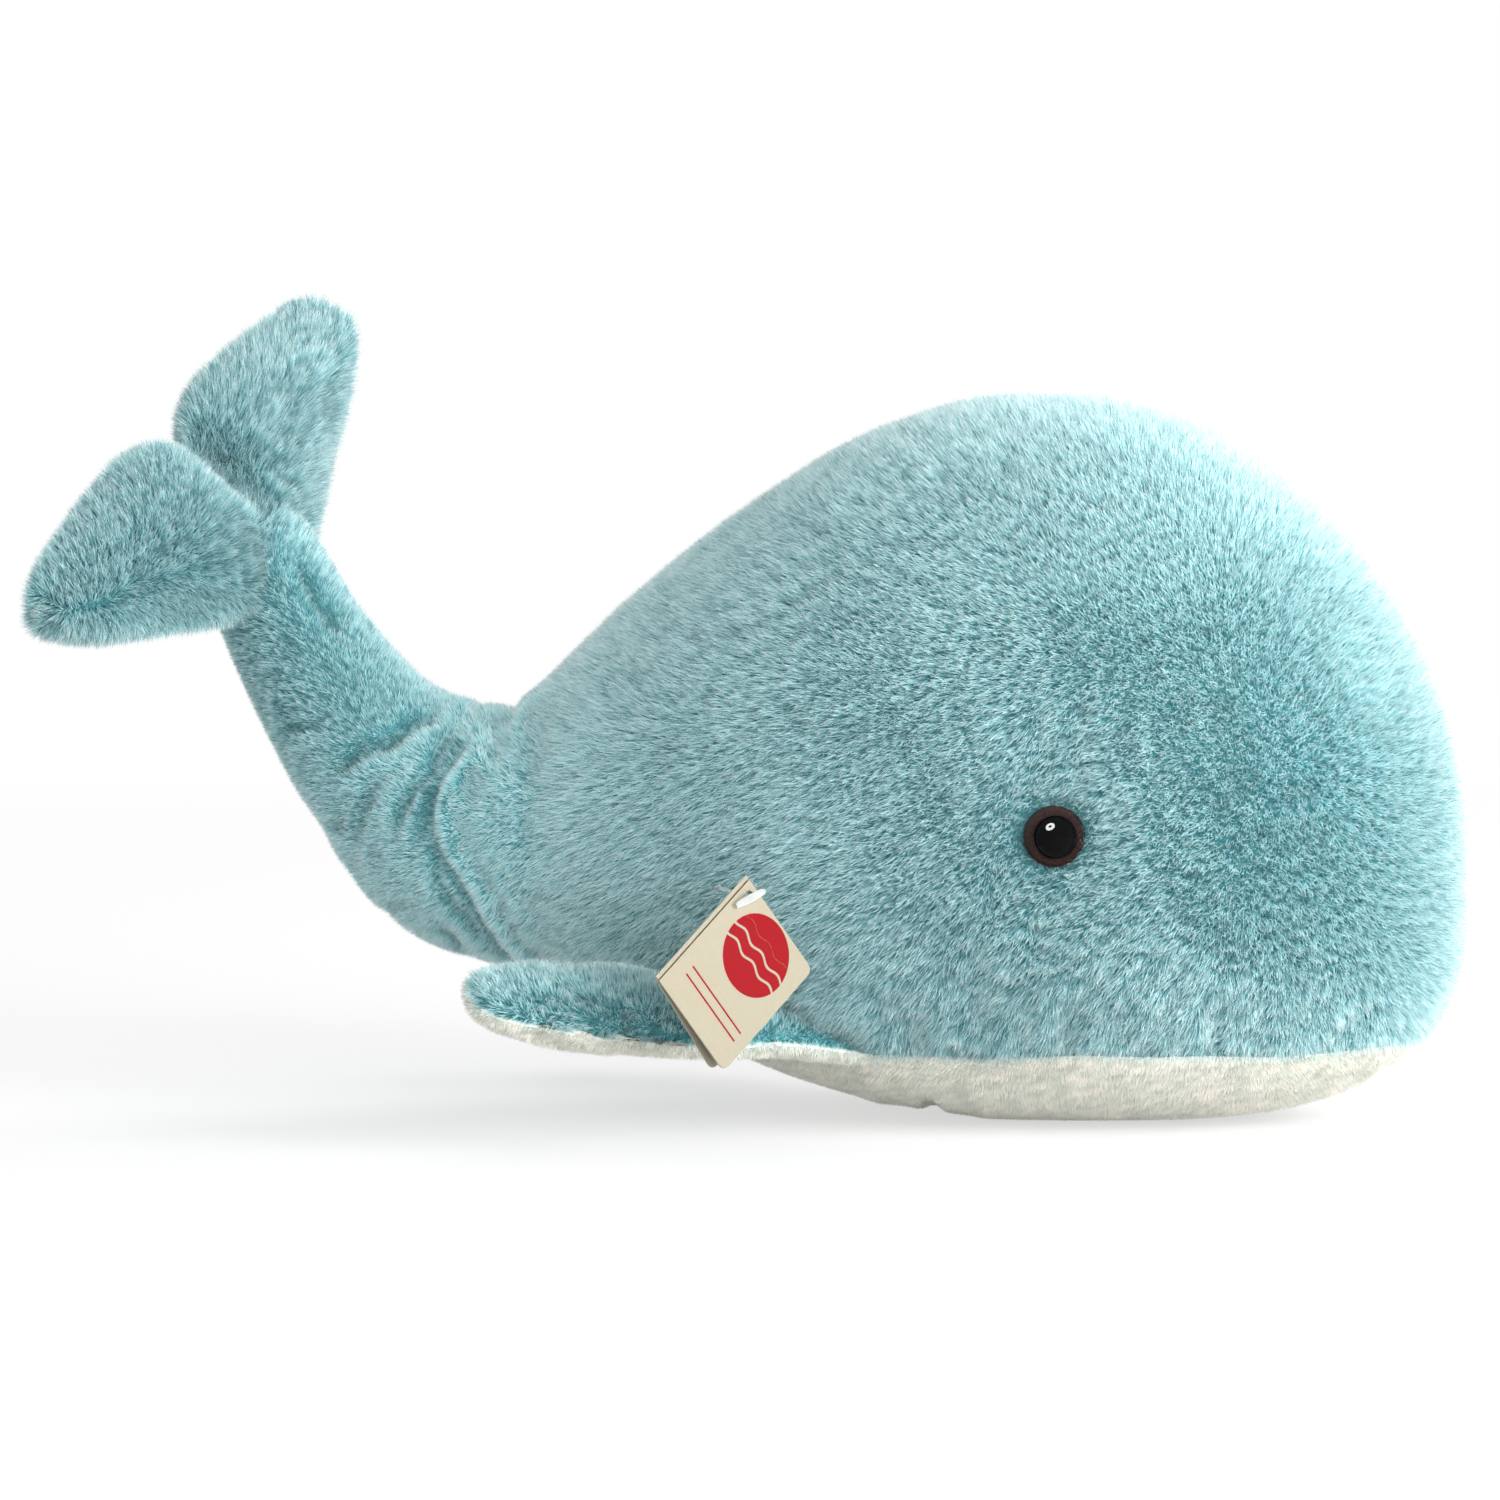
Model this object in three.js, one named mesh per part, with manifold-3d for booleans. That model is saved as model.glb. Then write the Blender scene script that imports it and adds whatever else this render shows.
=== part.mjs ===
// A stuffed toy whale that lies on its belly with its tail raised.
// Millimetres, +X to the snout, +Y to the whale's left, +Z up.
// The origin is the middle of the flat patch that the belly rests on.
import * as THREE from 'three';
import { mergeVertices } from 'three/addons/utils/BufferGeometryUtils.js';
import Module from 'manifold-3d';

const wasm = await Module();
wasm.setup();

// Clearances and overruns that every piece shares
const sewnGap = 0.3;      // between neighbours that are sewn or seated together
const fillGap = 0.7;      // between a cover and the stuffing inside it
const slideGap = 0.5;     // between two pieces that turn on each other
const overrun = 3;        // how far a cutter runs past what it cuts
const farReach = 400;     // half the side of a cutter that takes away everything on one side
const shortOfTip = 1 / 3; // the last ring stops this share of a step before a rounded tip

// Body: an egg-shaped head that tapers back to the round root of the tail
const body = {
  headLength: 137,        // from the origin to the snout
  height: 238,            // top of the back above the floor
  halfWidth: 98,
  snoutHeight: 78,        // height of the tip of the snout
  wideHeight: 105,        // height of the widest line at the origin
  seamHeight: 27,         // where the side panels meet the belly panel
  restDepth: 0.5,         // how much the floor flattens the belly
  plush: 8,               // backing and pile of the side panels
  bellyPlush: 4,          // the belly's pile is shorter
};
const tailRoot = {
  x: -167,                // the line that the tail turns about
  z: 93,
  radius: 44,             // round root, seen from the side
  halfWidth: 57,          // and from above
  upperEdgeAngle: 108,    // the tail's cover reaches round the root between these two angles
  lowerEdgeAngle: 235,
  liftAngle: 12,          // how far the tail can still rise
  dropAngle: 30,          // and how far it can fall
  overlap: 2,             // how far the body's form runs past that line into the root
  easingAngle: 2,         // degrees that the hollow keeps clear of the tail's sweep
};
const tail = {
  endX: -263,             // where the fluke is sewn on
  endZ: 178,
  endAngle: 121,          // direction of the tail there, from +X
  rootRadius: 45,
  endRadius: 21.5,
  plush: 7,
};
const fluke = {
  halfSpan: 100,
  chord: 72.5,
  halfThickness: 20,
  riseAngle: 120.4,       // direction from the tail to the notch, from +X
  leanAngle: 17,          // how far that direction leans to the whale's right
  twistAngle: 32,         // how far the span is turned about it
  neckLength: 12,
  neckWidth: 26,          // half width of the neck where it runs into the lobes
  neckThickness: 15,
  neckRun: 27,            // and how far along the chord that is
  plush: 6.5,
};
const flipper = {
  rootX: -90,
  rootZ: 38,
  standDistance: 8,       // from the body's side to the line it turns about
  beadRadius: 9.5,        // rolled seam that the flipper turns on
  beadLength: 56,
  swingAngle: 14,         // the line turns outwards by this, going forwards
  dipAngle: 17,           // and runs down by this
  reach: 100,
  sweepAngle: 62,         // direction of the flipper, back from straight out
  riseAngle: 7.5,         // and up
  tiltAngle: 22,          // its outer edge hangs by this
  halfChord: 23,
  halfThickness: 13.2,
  plush: 4.5,
};
const eye = {
  x: 7,
  z: 101,
  forwardAngle: 10,       // how far it looks forwards
  ballRadius: 6.75,
  ballHeight: 6.2,
  rimThickness: 1,
  ringRadius: 9.8,
  ringThickness: 1.2,
  pocketRadius: 10.6,
  pocketDepth: 4.8,
  shankRadius: 2.2,
  shankLength: 13,
  barbHeight: 0.5,
  barbs: 3,
  washerRadius: 8,
  washerThickness: 1.8,
  washerCollar: 4,
};
const tag = {
  cornerX: -89.6,         // upper corner of the card
  cornerY: -115,
  cornerZ: 89.1,
  yawAngle: 48.7,         // its plane turns by this from the whale's side
  rollAngle: 52.5,        // its short edge runs down by this
  spine: 48,              // long edge, where the card is folded
  width: 39,
  card: 0.6,
  cornerRound: 3,
  foldRadius: 0.7,
  partingAngle: 7,        // angle between the two leaves
  holeIn: 5,              // from the fold to the hole
  holeDown: 3.6,          // from the short edge to the hole
  backHole: 1.5,          // radius of the hole in the leaf at the back
  frontHole: 2,           // and in the leaf that opens
};
const fastener = {
  yawAngle: 22,           // the filament leaves the body forwards by this
  filamentRadius: 0.6,
  paddleLength: 10.5,
  paddleWidth: 2.4,
  paddleThickness: 0.9,
  paddleStand: 4.6,       // slack between the paddle and the card
  paddleAngle: 26,
  barLength: 9,
  barRadius: 1,
  bore: 1.1,              // hole in the plush that the filament passes
  barDepth: 11.4,         // from the fur's surface across to the bar's middle
};

const facets = {
  bodyRings: 25, bodySides: 28, innerRings: 13, innerSides: 16,
  rootRings: 10, rootSides: 32,
  tailRings: 11, tailSides: 18, tailInnerRings: 5, tailInnerSides: 10,
  flukeRings: 18, flukeSides: 14, flukeInnerRings: 10, flukeInnerSides: 8, neckSides: 14,
  flipperRings: 10, flipperSides: 14, flipperInnerRings: 6, flipperInnerSides: 8,
  beadRings: 9, turnedSides: 24, socketSides: 16, thinSides: 8,
  domeSteps: 7, cornerSteps: 4, wedgeSteps: 6,
};
const settleSteps = 40;   // tries that find where a line meets the body

// Outlines of the rear body, from the origin back to the tail's turning line.
// Each row is a share of that distance and a share of the size named.
const backShares = [[-0.1, 1], [0, 1], [0.14, 0.996], [0.26, 0.974], [0.38, 0.94], [0.5, 0.891],
  [0.66, 0.817], [0.81, 0.732], [0.9, 0.675], [1, 0.588], [1.1, 0.5]];
const bellyShares = [[-0.1, 0], [0, 0], [0.3, 0], [0.34, 0.012], [0.38, 0.038], [0.42, 0.066], [0.48, 0.118],
  [0.54, 0.17], [0.66, 0.262], [0.84, 0.39], [1, 0.49], [1.1, 0.56]];
const sideShares = [[-0.1, 1], [0, 1], [0.18, 0.998], [0.3, 0.985], [0.42, 0.954], [0.54, 0.903],
  [0.66, 0.832], [0.78, 0.745], [0.9, 0.653], [1, 0.565], [1.1, 0.47]];
const wideShares = [[-0.1, 1], [0, 1], [0.5, 0.955], [1, 0.886], [1.1, 0.87]];
// Roundness of the body's sections: 2 is an ellipse, more is squarer
const sectionPowers = { upperPower: 2.05, lowerPower: 2.3, chinPower: 3, beadPower: 2.6, paddlePower: 4 };

// Tail: where its middle line runs, as shares of the way from its root to its end
const tailRunShares = [[-0.16, -0.02, 0.98], [0.07, 0, 0.985], [0.26, 0.024, 0.925], [0.4, 0.1, 0.815],
  [0.56, 0.25, 0.7], [0.7, 0.43, 0.615], [0.874, 0.73, 0.525], [1, 1, 0.48], [1.1, 1.2, 0.47]];
const tailWidthShare = 0.97;

// Fluke: leading and trailing edges and thickness, from the middle to the tip
const leadingShares = [[0, -0.08], [0.155, -0.08], [0.31, 0.01], [0.515, 0.15], [0.72, 0.27], [0.876, 0.37],
  [1, 0.475]];
const trailingShares = [[0, 0.76], [0.1, 0.845], [0.2, 0.895], [0.31, 0.917], [0.515, 0.908], [0.72, 0.885],
  [0.876, 0.87], [1, 0.85]];
const lobeShares = [[0, 0.66], [0.155, 0.88], [0.31, 0.98], [0.515, 0.91], [0.72, 0.76], [0.876, 0.62],
  [1, 0.5]];
const tipPower = 5;

// Flipper: half chord and half thickness, from the root to the tip
const chordShares = [[0, 0.98], [0.2, 0.94], [0.5, 1], [0.75, 0.92], [0.9, 0.84], [1, 0.78]];
const flipperBulkShares = [[0, 0.6], [0.2, 0.82], [0.45, 1], [0.75, 0.9], [1, 0.7]];
const flipperTipPower = 3;
const rootTurnShare = 0.5; // the chord turns into line with the root over this part of the length

const radians = THREE.MathUtils.degToRad;
const vec = (x, y, z) => new THREE.Vector3(x, y, z);
const along = (start, ...moves) => moves.reduce((p, [axis, d]) => p.addScaledVector(axis, d), start.clone());
const inPlane = (degrees) => vec(Math.cos(radians(degrees)), 0, Math.sin(radians(degrees)));
const bow = (n, power) => Math.sign(n) * Math.abs(n) ** (2 / power);

// A smooth curve through rows of [place, value, ...]; returns the value in one column
function smooth(rows, place, column = 1) {
  const last = rows.length - 1;
  const i = Math.min(Math.max(rows.findIndex((row) => row[0] > place) - 1, 0), last - 1);
  const k = place >= rows[last][0] ? last - 1 : i;
  const slope = (n) => {
    const before = rows[Math.max(n - 1, 0)];
    const after = rows[Math.min(n + 1, last)];
    return (after[column] - before[column]) / (after[0] - before[0]);
  };
  const width = rows[k + 1][0] - rows[k][0];
  const t = THREE.MathUtils.clamp((place - rows[k][0]) / width, 0, 1);
  const stay = (1 + 2 * t) * (1 - t) ** 2;
  return stay * rows[k][column] + (1 - stay) * rows[k + 1][column]
    + width * t * (1 - t) * ((1 - t) * slope(k) - t * slope(k + 1));
}

// Solids

function toSolid(positions, index) {
  let volume = 0;
  const corner = (i) => new THREE.Vector3().fromArray(positions, 3 * i);
  for (let i = 0; i < index.length; i += 3) {
    volume += corner(index[i]).dot(corner(index[i + 1]).cross(corner(index[i + 2])));
  }
  const triVerts = Uint32Array.from(volume < 0 ? index.toReversed() : index);
  const vertProperties = Float32Array.from(positions);
  return new wasm.Manifold(new wasm.Mesh({ numProp: 3, vertProperties, triVerts }));
}

function fromGeometry(geometry) {
  const plain = geometry.index ? geometry.clone() : geometry;
  plain.deleteAttribute('normal');
  plain.deleteAttribute('uv');
  const merged = mergeVertices(plain);
  return toSolid(Array.from(merged.attributes.position.array), Array.from(merged.index.array));
}

// A closed form through rings of points, with a fan over each end
function loft(rings) {
  const count = rings[0].length;
  const middle = (ring) => ring.reduce((sum, p) => sum.add(p), vec(0, 0, 0)).divideScalar(count);
  const points = [...rings.flat(), middle(rings[0]), middle(rings.at(-1))];
  const first = rings.length * count;
  const index = [];
  for (let j = 0; j < count; j += 1) {
    const next = (j + 1) % count;
    for (let i = 0; i + 1 < rings.length; i += 1) {
      const [a, b] = [i * count + j, i * count + next];
      index.push(a, b, b + count, a, b + count, a + count);
    }
    index.push(first, next, j);
    index.push(first + 1, first - count + j, first - count + next);
  }
  return toSolid(points.flatMap((p) => p.toArray()), index);
}

// One ring: half sizes a and b along two directions; a power of 2 makes an ellipse
function ringAt(centre, u, a, v, b, count, power = 2) {
  return Array.from({ length: count }, (_, k) => {
    const turn = 2 * Math.PI * (k + 1 / 2) / count;
    return along(centre, [u, a * bow(Math.cos(turn), power)], [v, b * bow(Math.sin(turn), power)]);
  });
}

// A turned piece whose axis leaves the point in the direction given
function turned(profile, origin, direction, sides = facets.turnedSides) {
  const points = profile.map(([r, h]) => new THREE.Vector2(r, h));
  const geometry = new THREE.LatheGeometry(points, sides);
  geometry.applyQuaternion(new THREE.Quaternion().setFromUnitVectors(vec(0, 1, 0), direction));
  geometry.translate(origin.x, origin.y, origin.z);
  return fromGeometry(geometry);
}

// A plain round bar between two points
function bar(start, end, radius, sides = facets.thinSides) {
  const length = start.distanceTo(end);
  return turned([[0, 0], [radius, 0], [radius, length], [0, length]], start,
    end.clone().sub(start).normalize(), sides);
}

// Everything behind a plane through a point, on the side that its normal leaves
function behind(point, normal) {
  const geometry = new THREE.BoxGeometry(2 * farReach, 2 * farReach, 2 * farReach);
  geometry.translate(0, 0, -farReach);
  geometry.applyQuaternion(new THREE.Quaternion().setFromUnitVectors(vec(0, 0, 1), normal));
  geometry.translate(point.x, point.y, point.z);
  return fromGeometry(geometry);
}

// A wedge of space round a line across the body, between two angles seen from the side
function wedge(x, z, from, to) {
  const shape = new THREE.Shape();
  shape.moveTo(x, z);
  for (let k = 0; k <= facets.wedgeSteps; k += 1) {
    const direction = inPlane(from + (to - from) * k / facets.wedgeSteps);
    shape.lineTo(x + farReach * direction.x, z + farReach * direction.z);
  }
  shape.closePath();
  const geometry = new THREE.ExtrudeGeometry(shape, { depth: 2 * farReach, bevelEnabled: false });
  geometry.rotateX(Math.PI / 2);
  geometry.translate(0, farReach, 0);
  return fromGeometry(geometry);
}

// A flat plate of given outline, standing on a frame of two edges and a normal
function plate(outline, thickness, origin, u, v, normal) {
  const geometry = new THREE.ExtrudeGeometry(outline,
    { depth: thickness, bevelEnabled: false, curveSegments: facets.cornerSteps });
  geometry.applyMatrix4(new THREE.Matrix4().makeBasis(u, v, normal).setPosition(origin));
  return fromGeometry(geometry);
}

// Body

function bodySection(x, inset, under) {
  const reach = body.headLength - inset;
  if (x > 0) {
    const round = Math.sqrt(1 - (x / reach) ** 2);
    const blunt = (1 - (x / reach) ** sectionPowers.chinPower) ** (1 / sectionPowers.chinPower);
    return {
      top: body.snoutHeight + (body.height - inset - body.snoutHeight) * round,
      bottom: body.snoutHeight - (body.snoutHeight + body.restDepth - under) * blunt,
      halfWidth: (body.halfWidth - inset) * round,
      wide: body.snoutHeight + (body.wideHeight - body.snoutHeight) * round,
    };
  }
  const share = x / tailRoot.x;
  return {
    top: body.height * smooth(backShares, share) - inset,
    bottom: tailRoot.z * smooth(bellyShares, share) - body.restDepth + under,
    halfWidth: body.halfWidth * smooth(sideShares, share) - inset,
    wide: body.wideHeight * smooth(wideShares, share),
  };
}

function bodyRing(x, inset, under, count) {
  const { top, bottom, halfWidth, wide } = bodySection(x, inset, under);
  return Array.from({ length: count }, (_, k) => {
    const turn = 2 * Math.PI * (k + 1 / 2) / count;
    const up = Math.sin(turn) > 0;
    const power = up ? sectionPowers.upperPower : sectionPowers.lowerPower;
    const z = wide + (up ? top - wide : wide - bottom) * bow(Math.sin(turn), power);
    return vec(x, halfWidth * bow(Math.cos(turn), power), z);
  });
}

// Distance from the middle plane to the body's side at a place
function sideAt(x, z) {
  const { top, bottom, halfWidth, wide } = bodySection(x, 0, 0);
  const power = z > wide ? sectionPowers.upperPower : sectionPowers.lowerPower;
  const share = z > wide ? (z - wide) / (top - wide) : (wide - z) / (wide - bottom);
  return halfWidth * (1 - share ** power) ** (1 / power);
}

// The tail's round root, grown or shrunk by an amount
function rootForm(grow) {
  const radius = tailRoot.radius + grow;
  const width = tailRoot.halfWidth + grow;
  const rings = Array.from({ length: facets.rootRings }, (_, k) => {
    const turn = Math.PI * (k + 1 / 2) / facets.rootRings;
    const size = radius * Math.sin(turn);
    const centre = vec(tailRoot.x, -width * Math.cos(turn), tailRoot.z);
    return ringAt(centre, vec(1, 0, 0), size, vec(0, 0, 1), size, facets.rootSides);
  });
  return loft(rings);
}

function bodyForm(inset, under, lengthwise, round) {
  const back = tailRoot.x - tailRoot.overlap + inset;
  const tip = body.headLength - inset;
  const rings = Array.from({ length: lengthwise }, (_, k) => {
    const turn = Math.PI * k / (lengthwise - 1 + shortOfTip);
    return bodyRing(back + (tip - back) * (1 - Math.cos(turn)) / 2, inset, under, round);
  });
  const easing = inset > 0 ? tailRoot.easingAngle : 0;
  const swept = wedge(tailRoot.x + inset, tailRoot.z, tailRoot.upperEdgeAngle - tailRoot.liftAngle - easing,
    tailRoot.lowerEdgeAngle + tailRoot.dropAngle + easing);
  return loft(rings).subtract(swept).add(rootForm(-inset));
}

// Eyes: a ball with a barbed shank, a ring under it and a locking washer inside

function eyeFrame(side) {
  const at = vec(eye.x, side * sideAt(eye.x, eye.z), eye.z);
  const out = vec(Math.sin(radians(eye.forwardAngle)), side * Math.cos(radians(eye.forwardAngle)), 0);
  return { at, out, seat: along(at, [out, -eye.pocketDepth + sewnGap]) };
}

function eyeBall(side) {
  const { out, seat } = eyeFrame(side);
  const base = eye.ringThickness + sewnGap;
  const rim = base + eye.rimThickness;
  const dome = Array.from({ length: facets.domeSteps + 1 }, (_, k) => {
    const turn = Math.PI / 2 * k / facets.domeSteps;
    return [eye.ballRadius * Math.cos(turn), rim + (eye.ballHeight - eye.rimThickness) * Math.sin(turn)];
  });
  dome[facets.domeSteps][0] = 0;
  const shank = [];
  const pitch = eye.shankLength / (eye.barbs + 1);
  for (let k = eye.barbs; k > 0; k -= 1) {
    const low = base - k * pitch;
    shank.push([eye.shankRadius - eye.barbHeight, low], [eye.shankRadius, low + eye.barbHeight],
      [eye.shankRadius - eye.barbHeight, low + 2 * eye.barbHeight]);
  }
  const end = base - eye.shankLength;
  const profile = [[0, end], [eye.shankRadius - 2 * eye.barbHeight, end], ...shank,
    [eye.shankRadius - eye.barbHeight, base], [eye.ballRadius, base], ...dome];
  return turned(profile, seat, out);
}

function eyeRing(side) {
  const { out, seat } = eyeFrame(side);
  const bore = eye.shankRadius + sewnGap;
  const profile = [[bore, 0], [eye.ringRadius, 0], [eye.ringRadius, eye.ringThickness / 2],
    [eye.ringRadius - eye.ringThickness, eye.ringThickness], [bore, eye.ringThickness], [bore, 0]];
  return turned(profile, seat, out);
}

const washerSeat = () => body.plush - eye.pocketDepth + sewnGap;

function eyeWasher(side) {
  const { out, seat } = eyeFrame(side);
  const top = -washerSeat() - 2 * sewnGap;
  const low = top - eye.washerThickness;
  const bore = eye.shankRadius + sewnGap;
  const foot = low - eye.washerThickness;
  const profile = [[bore, foot], [eye.washerCollar, foot], [eye.washerCollar, low], [eye.washerRadius, low],
    [eye.washerRadius, top], [bore, top], [bore, foot]];
  return turned(profile, seat, out);
}

function eyePocket(side) {
  const { at, out, seat } = eyeFrame(side);
  const wide = bar(along(at, [out, -eye.pocketDepth]), along(at, [out, 2 * eye.pocketDepth]),
    eye.pocketRadius, facets.socketSides);
  const bore = bar(along(seat, [out, -body.plush]), along(seat, [out, eye.pocketDepth]),
    eye.shankRadius + sewnGap, facets.socketSides);
  return wide.add(bore);
}

// Room for the washer, which clamps the cover flat, and for the shank's end
function washerPocket(side) {
  const { out, seat } = eyeFrame(side);
  const floor = along(seat, [out, eye.ringThickness - eye.shankLength - sewnGap]);
  const ceiling = along(seat, [out, -washerSeat() - sewnGap]);
  return bar(floor, ceiling, eye.washerRadius + sewnGap, facets.socketSides);
}

// Hanging card: two leaves on a fold, and the plastic fastener that holds them

function tagFrame() {
  const yaw = radians(tag.yawAngle);
  const roll = radians(tag.rollAngle);
  const level = vec(Math.cos(yaw), Math.sin(yaw), 0);
  const normal = vec(Math.sin(yaw), -Math.cos(yaw), 0);
  const across = along(vec(0, 0, 0), [level, Math.cos(roll)], [vec(0, 0, 1), -Math.sin(roll)]);
  const down = along(vec(0, 0, 0), [level, -Math.sin(roll)], [vec(0, 0, 1), -Math.cos(roll)]);
  const corner = vec(tag.cornerX, tag.cornerY, tag.cornerZ);
  const hole = along(corner, [across, tag.holeIn], [down, tag.holeDown]);
  return { corner, across, down, normal, hole };
}

function leafOutline(holeRadius) {
  const r = tag.cornerRound;
  const near = tag.foldRadius + sewnGap;
  const shape = new THREE.Shape();
  shape.moveTo(near, 0);
  shape.lineTo(tag.width - r, 0);
  shape.quadraticCurveTo(tag.width, 0, tag.width, r);
  shape.lineTo(tag.width, tag.spine - r);
  shape.quadraticCurveTo(tag.width, tag.spine, tag.width - r, tag.spine);
  shape.lineTo(near, tag.spine);
  shape.closePath();
  const hole = new THREE.Path();
  hole.absellipse(tag.holeIn, tag.holeDown, holeRadius, holeRadius, 0, 2 * Math.PI, true);
  shape.holes.push(hole);
  return shape;
}

// The leaf that lies against the whale, with the rounded fold along its edge
function backLeaf() {
  const { corner, across, down, normal } = tagFrame();
  const origin = along(corner, [normal, -tag.card]);
  const leaf = plate(leafOutline(tag.backHole), tag.card, origin, across, down, normal);
  const foldAxis = along(corner, [normal, tag.card / 2]);
  const fold = bar(foldAxis, along(foldAxis, [down, tag.spine]), tag.foldRadius, facets.thinSides);
  const web = new THREE.Shape([new THREE.Vector2(0, 0), new THREE.Vector2(2 * tag.foldRadius, 0),
    new THREE.Vector2(2 * tag.foldRadius, tag.spine), new THREE.Vector2(0, tag.spine)]);
  return leaf.add(fold).add(plate(web, tag.card, origin, across, down, normal));
}

// The leaf that shows, opened a little about the fold
function frontLeaf() {
  const { corner, across, down, normal } = tagFrame();
  const turn = radians(tag.partingAngle);
  const out = along(vec(0, 0, 0), [across, Math.cos(turn)], [normal, Math.sin(turn)]);
  const face = along(vec(0, 0, 0), [normal, Math.cos(turn)], [across, -Math.sin(turn)]);
  const origin = along(corner, [normal, tag.card / 2]);
  return plate(leafOutline(tag.frontHole), tag.card, origin, out, down, face);
}

// Direction of the filament, out of the body
function lead() {
  return vec(Math.sin(radians(fastener.yawAngle)), -Math.cos(radians(fastener.yawAngle)), 0);
}

// The point on the filament's line that lies this far inside the body's surface, measured across
function onLead(depth) {
  const { hole } = tagFrame();
  let reach = 0;
  for (let k = 0; k < settleSteps; k += 1) {
    const p = along(hole, [lead(), -reach]);
    reach += (Math.abs(p.y) - sideAt(p.x, p.z) + depth) * Math.cos(radians(fastener.yawAngle));
  }
  return along(hole, [lead(), -reach]);
}

function uprightBar(middle, grow) {
  const up = vec(0, 0, fastener.barLength / 2 + grow);
  return bar(middle.clone().sub(up), middle.clone().add(up), fastener.barRadius + grow);
}

function fastenerSolid() {
  const { hole } = tagFrame();
  const level = vec(-lead().y, lead().x, 0);
  const turn = radians(fastener.paddleAngle);
  const lengthwise = along(vec(0, 0, 0), [level, Math.cos(turn)], [vec(0, 0, 1), Math.sin(turn)]);
  const sideways = along(vec(0, 0, 0), [level, -Math.sin(turn)], [vec(0, 0, 1), Math.cos(turn)]);
  const back = along(hole, [lead(), fastener.paddleStand]);
  const front = along(back, [lead(), fastener.paddleThickness]);
  const paddle = loft([back, front].map((p) => ringAt(p, lengthwise, fastener.paddleLength / 2, sideways,
    fastener.paddleWidth / 2, facets.turnedSides / 2, sectionPowers.paddlePower)));
  const middle = onLead(fastener.barDepth);
  const end = along(back, [lead(), fastener.paddleThickness / 2]);
  return paddle.add(bar(middle, end, fastener.filamentRadius)).add(uprightBar(middle, 0));
}

// Room for the filament and for the bar that holds it inside the cover
function fastenerBore() {
  const middle = onLead(fastener.barDepth);
  return bar(middle, along(onLead(0), [lead(), overrun]), fastener.bore).add(uprightBar(middle, sewnGap));
}

// Flippers: a paddle on a rolled seam, swept back along the body

function flipperFrame() {
  const line = vec(Math.cos(radians(flipper.swingAngle)), -Math.sin(radians(flipper.swingAngle)), 0)
    .multiplyScalar(Math.cos(radians(flipper.dipAngle)))
    .add(vec(0, 0, -Math.sin(radians(flipper.dipAngle))));
  const sweep = radians(flipper.sweepAngle);
  const tilt = radians(flipper.tiltAngle);
  const length = vec(-Math.sin(sweep), -Math.cos(sweep), Math.tan(radians(flipper.riseAngle))).normalize();
  const level = vec(0, 0, 1).cross(length).normalize();
  const chord = level.multiplyScalar(Math.cos(tilt)).add(vec(0, 0, -Math.sin(tilt)));
  chord.addScaledVector(length, -chord.dot(length)).normalize();
  const face = chord.clone().cross(length).normalize();
  face.multiplyScalar(Math.sign(face.z));
  const hinge = line.addScaledVector(face, -line.dot(face)).normalize();
  const out = sideAt(flipper.rootX, flipper.rootZ) + flipper.standDistance;
  const root = vec(flipper.rootX, -out, flipper.rootZ);
  return { root, hinge, length, chord, face };
}

function flipperForm(inset, lengthwise, round) {
  const { root, hinge, length, chord, face } = flipperFrame();
  const rings = Array.from({ length: lengthwise }, (_, k) => {
    const place = Math.sin(Math.PI / 2 * k / (lengthwise - 1 + shortOfTip));
    const tip = (1 - place ** flipperTipPower) ** (1 / flipperTipPower);
    const start = 2 * inset;
    const centre = along(root, [length, start + (flipper.reach - start - inset) * place]);
    const turned = THREE.MathUtils.smoothstep(place, 0, rootTurnShare);
    const direction = hinge.clone().lerp(chord, turned).normalize();
    const halfChord = (flipper.halfChord * smooth(chordShares, place) - inset) * tip;
    const halfThickness = (flipper.halfThickness * smooth(flipperBulkShares, place) - inset) * tip;
    return ringAt(centre, direction, halfChord, face, halfThickness, round);
  });
  return loft(rings);
}

// The rolled seam is round about the line, with rounded ends
function flipperBead(grow) {
  const { root, hinge, face } = flipperFrame();
  const side = hinge.clone().cross(face);
  const rings = Array.from({ length: facets.beadRings }, (_, k) => {
    const turn = Math.PI * (k + shortOfTip) / (facets.beadRings - 1 + 2 * shortOfTip);
    const size = (flipper.beadRadius + grow) * bow(Math.sin(turn), sectionPowers.beadPower);
    const reach = (flipper.beadLength / 2 + grow) * bow(Math.cos(turn), sectionPowers.beadPower);
    return ringAt(along(root, [hinge, -reach]), face, size, side, size, facets.flipperSides);
  });
  return loft(rings);
}

function flipperPieces(mirrored) {
  const { root, face } = flipperFrame();
  const outer = flipperForm(0, facets.flipperRings, facets.flipperSides).add(flipperBead(0));
  const hollow = flipperForm(flipper.plush, facets.flipperInnerRings, facets.flipperInnerSides);
  const shell = outer.subtract(hollow);
  const top = shell.subtract(behind(along(root, [face, sewnGap / 2]), face));
  const under = shell.intersect(behind(along(root, [face, -sewnGap / 2]), face));
  const stuffing = flipperForm(flipper.plush + fillGap, facets.flipperInnerRings, facets.flipperInnerSides);
  const placed = (solid) => (mirrored ? solid.mirror([0, 1, 0]) : solid);
  return { top: placed(top), under: placed(under), stuffing: placed(stuffing) };
}

// Tail: a bent tube of plush over its own stuffing

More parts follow.
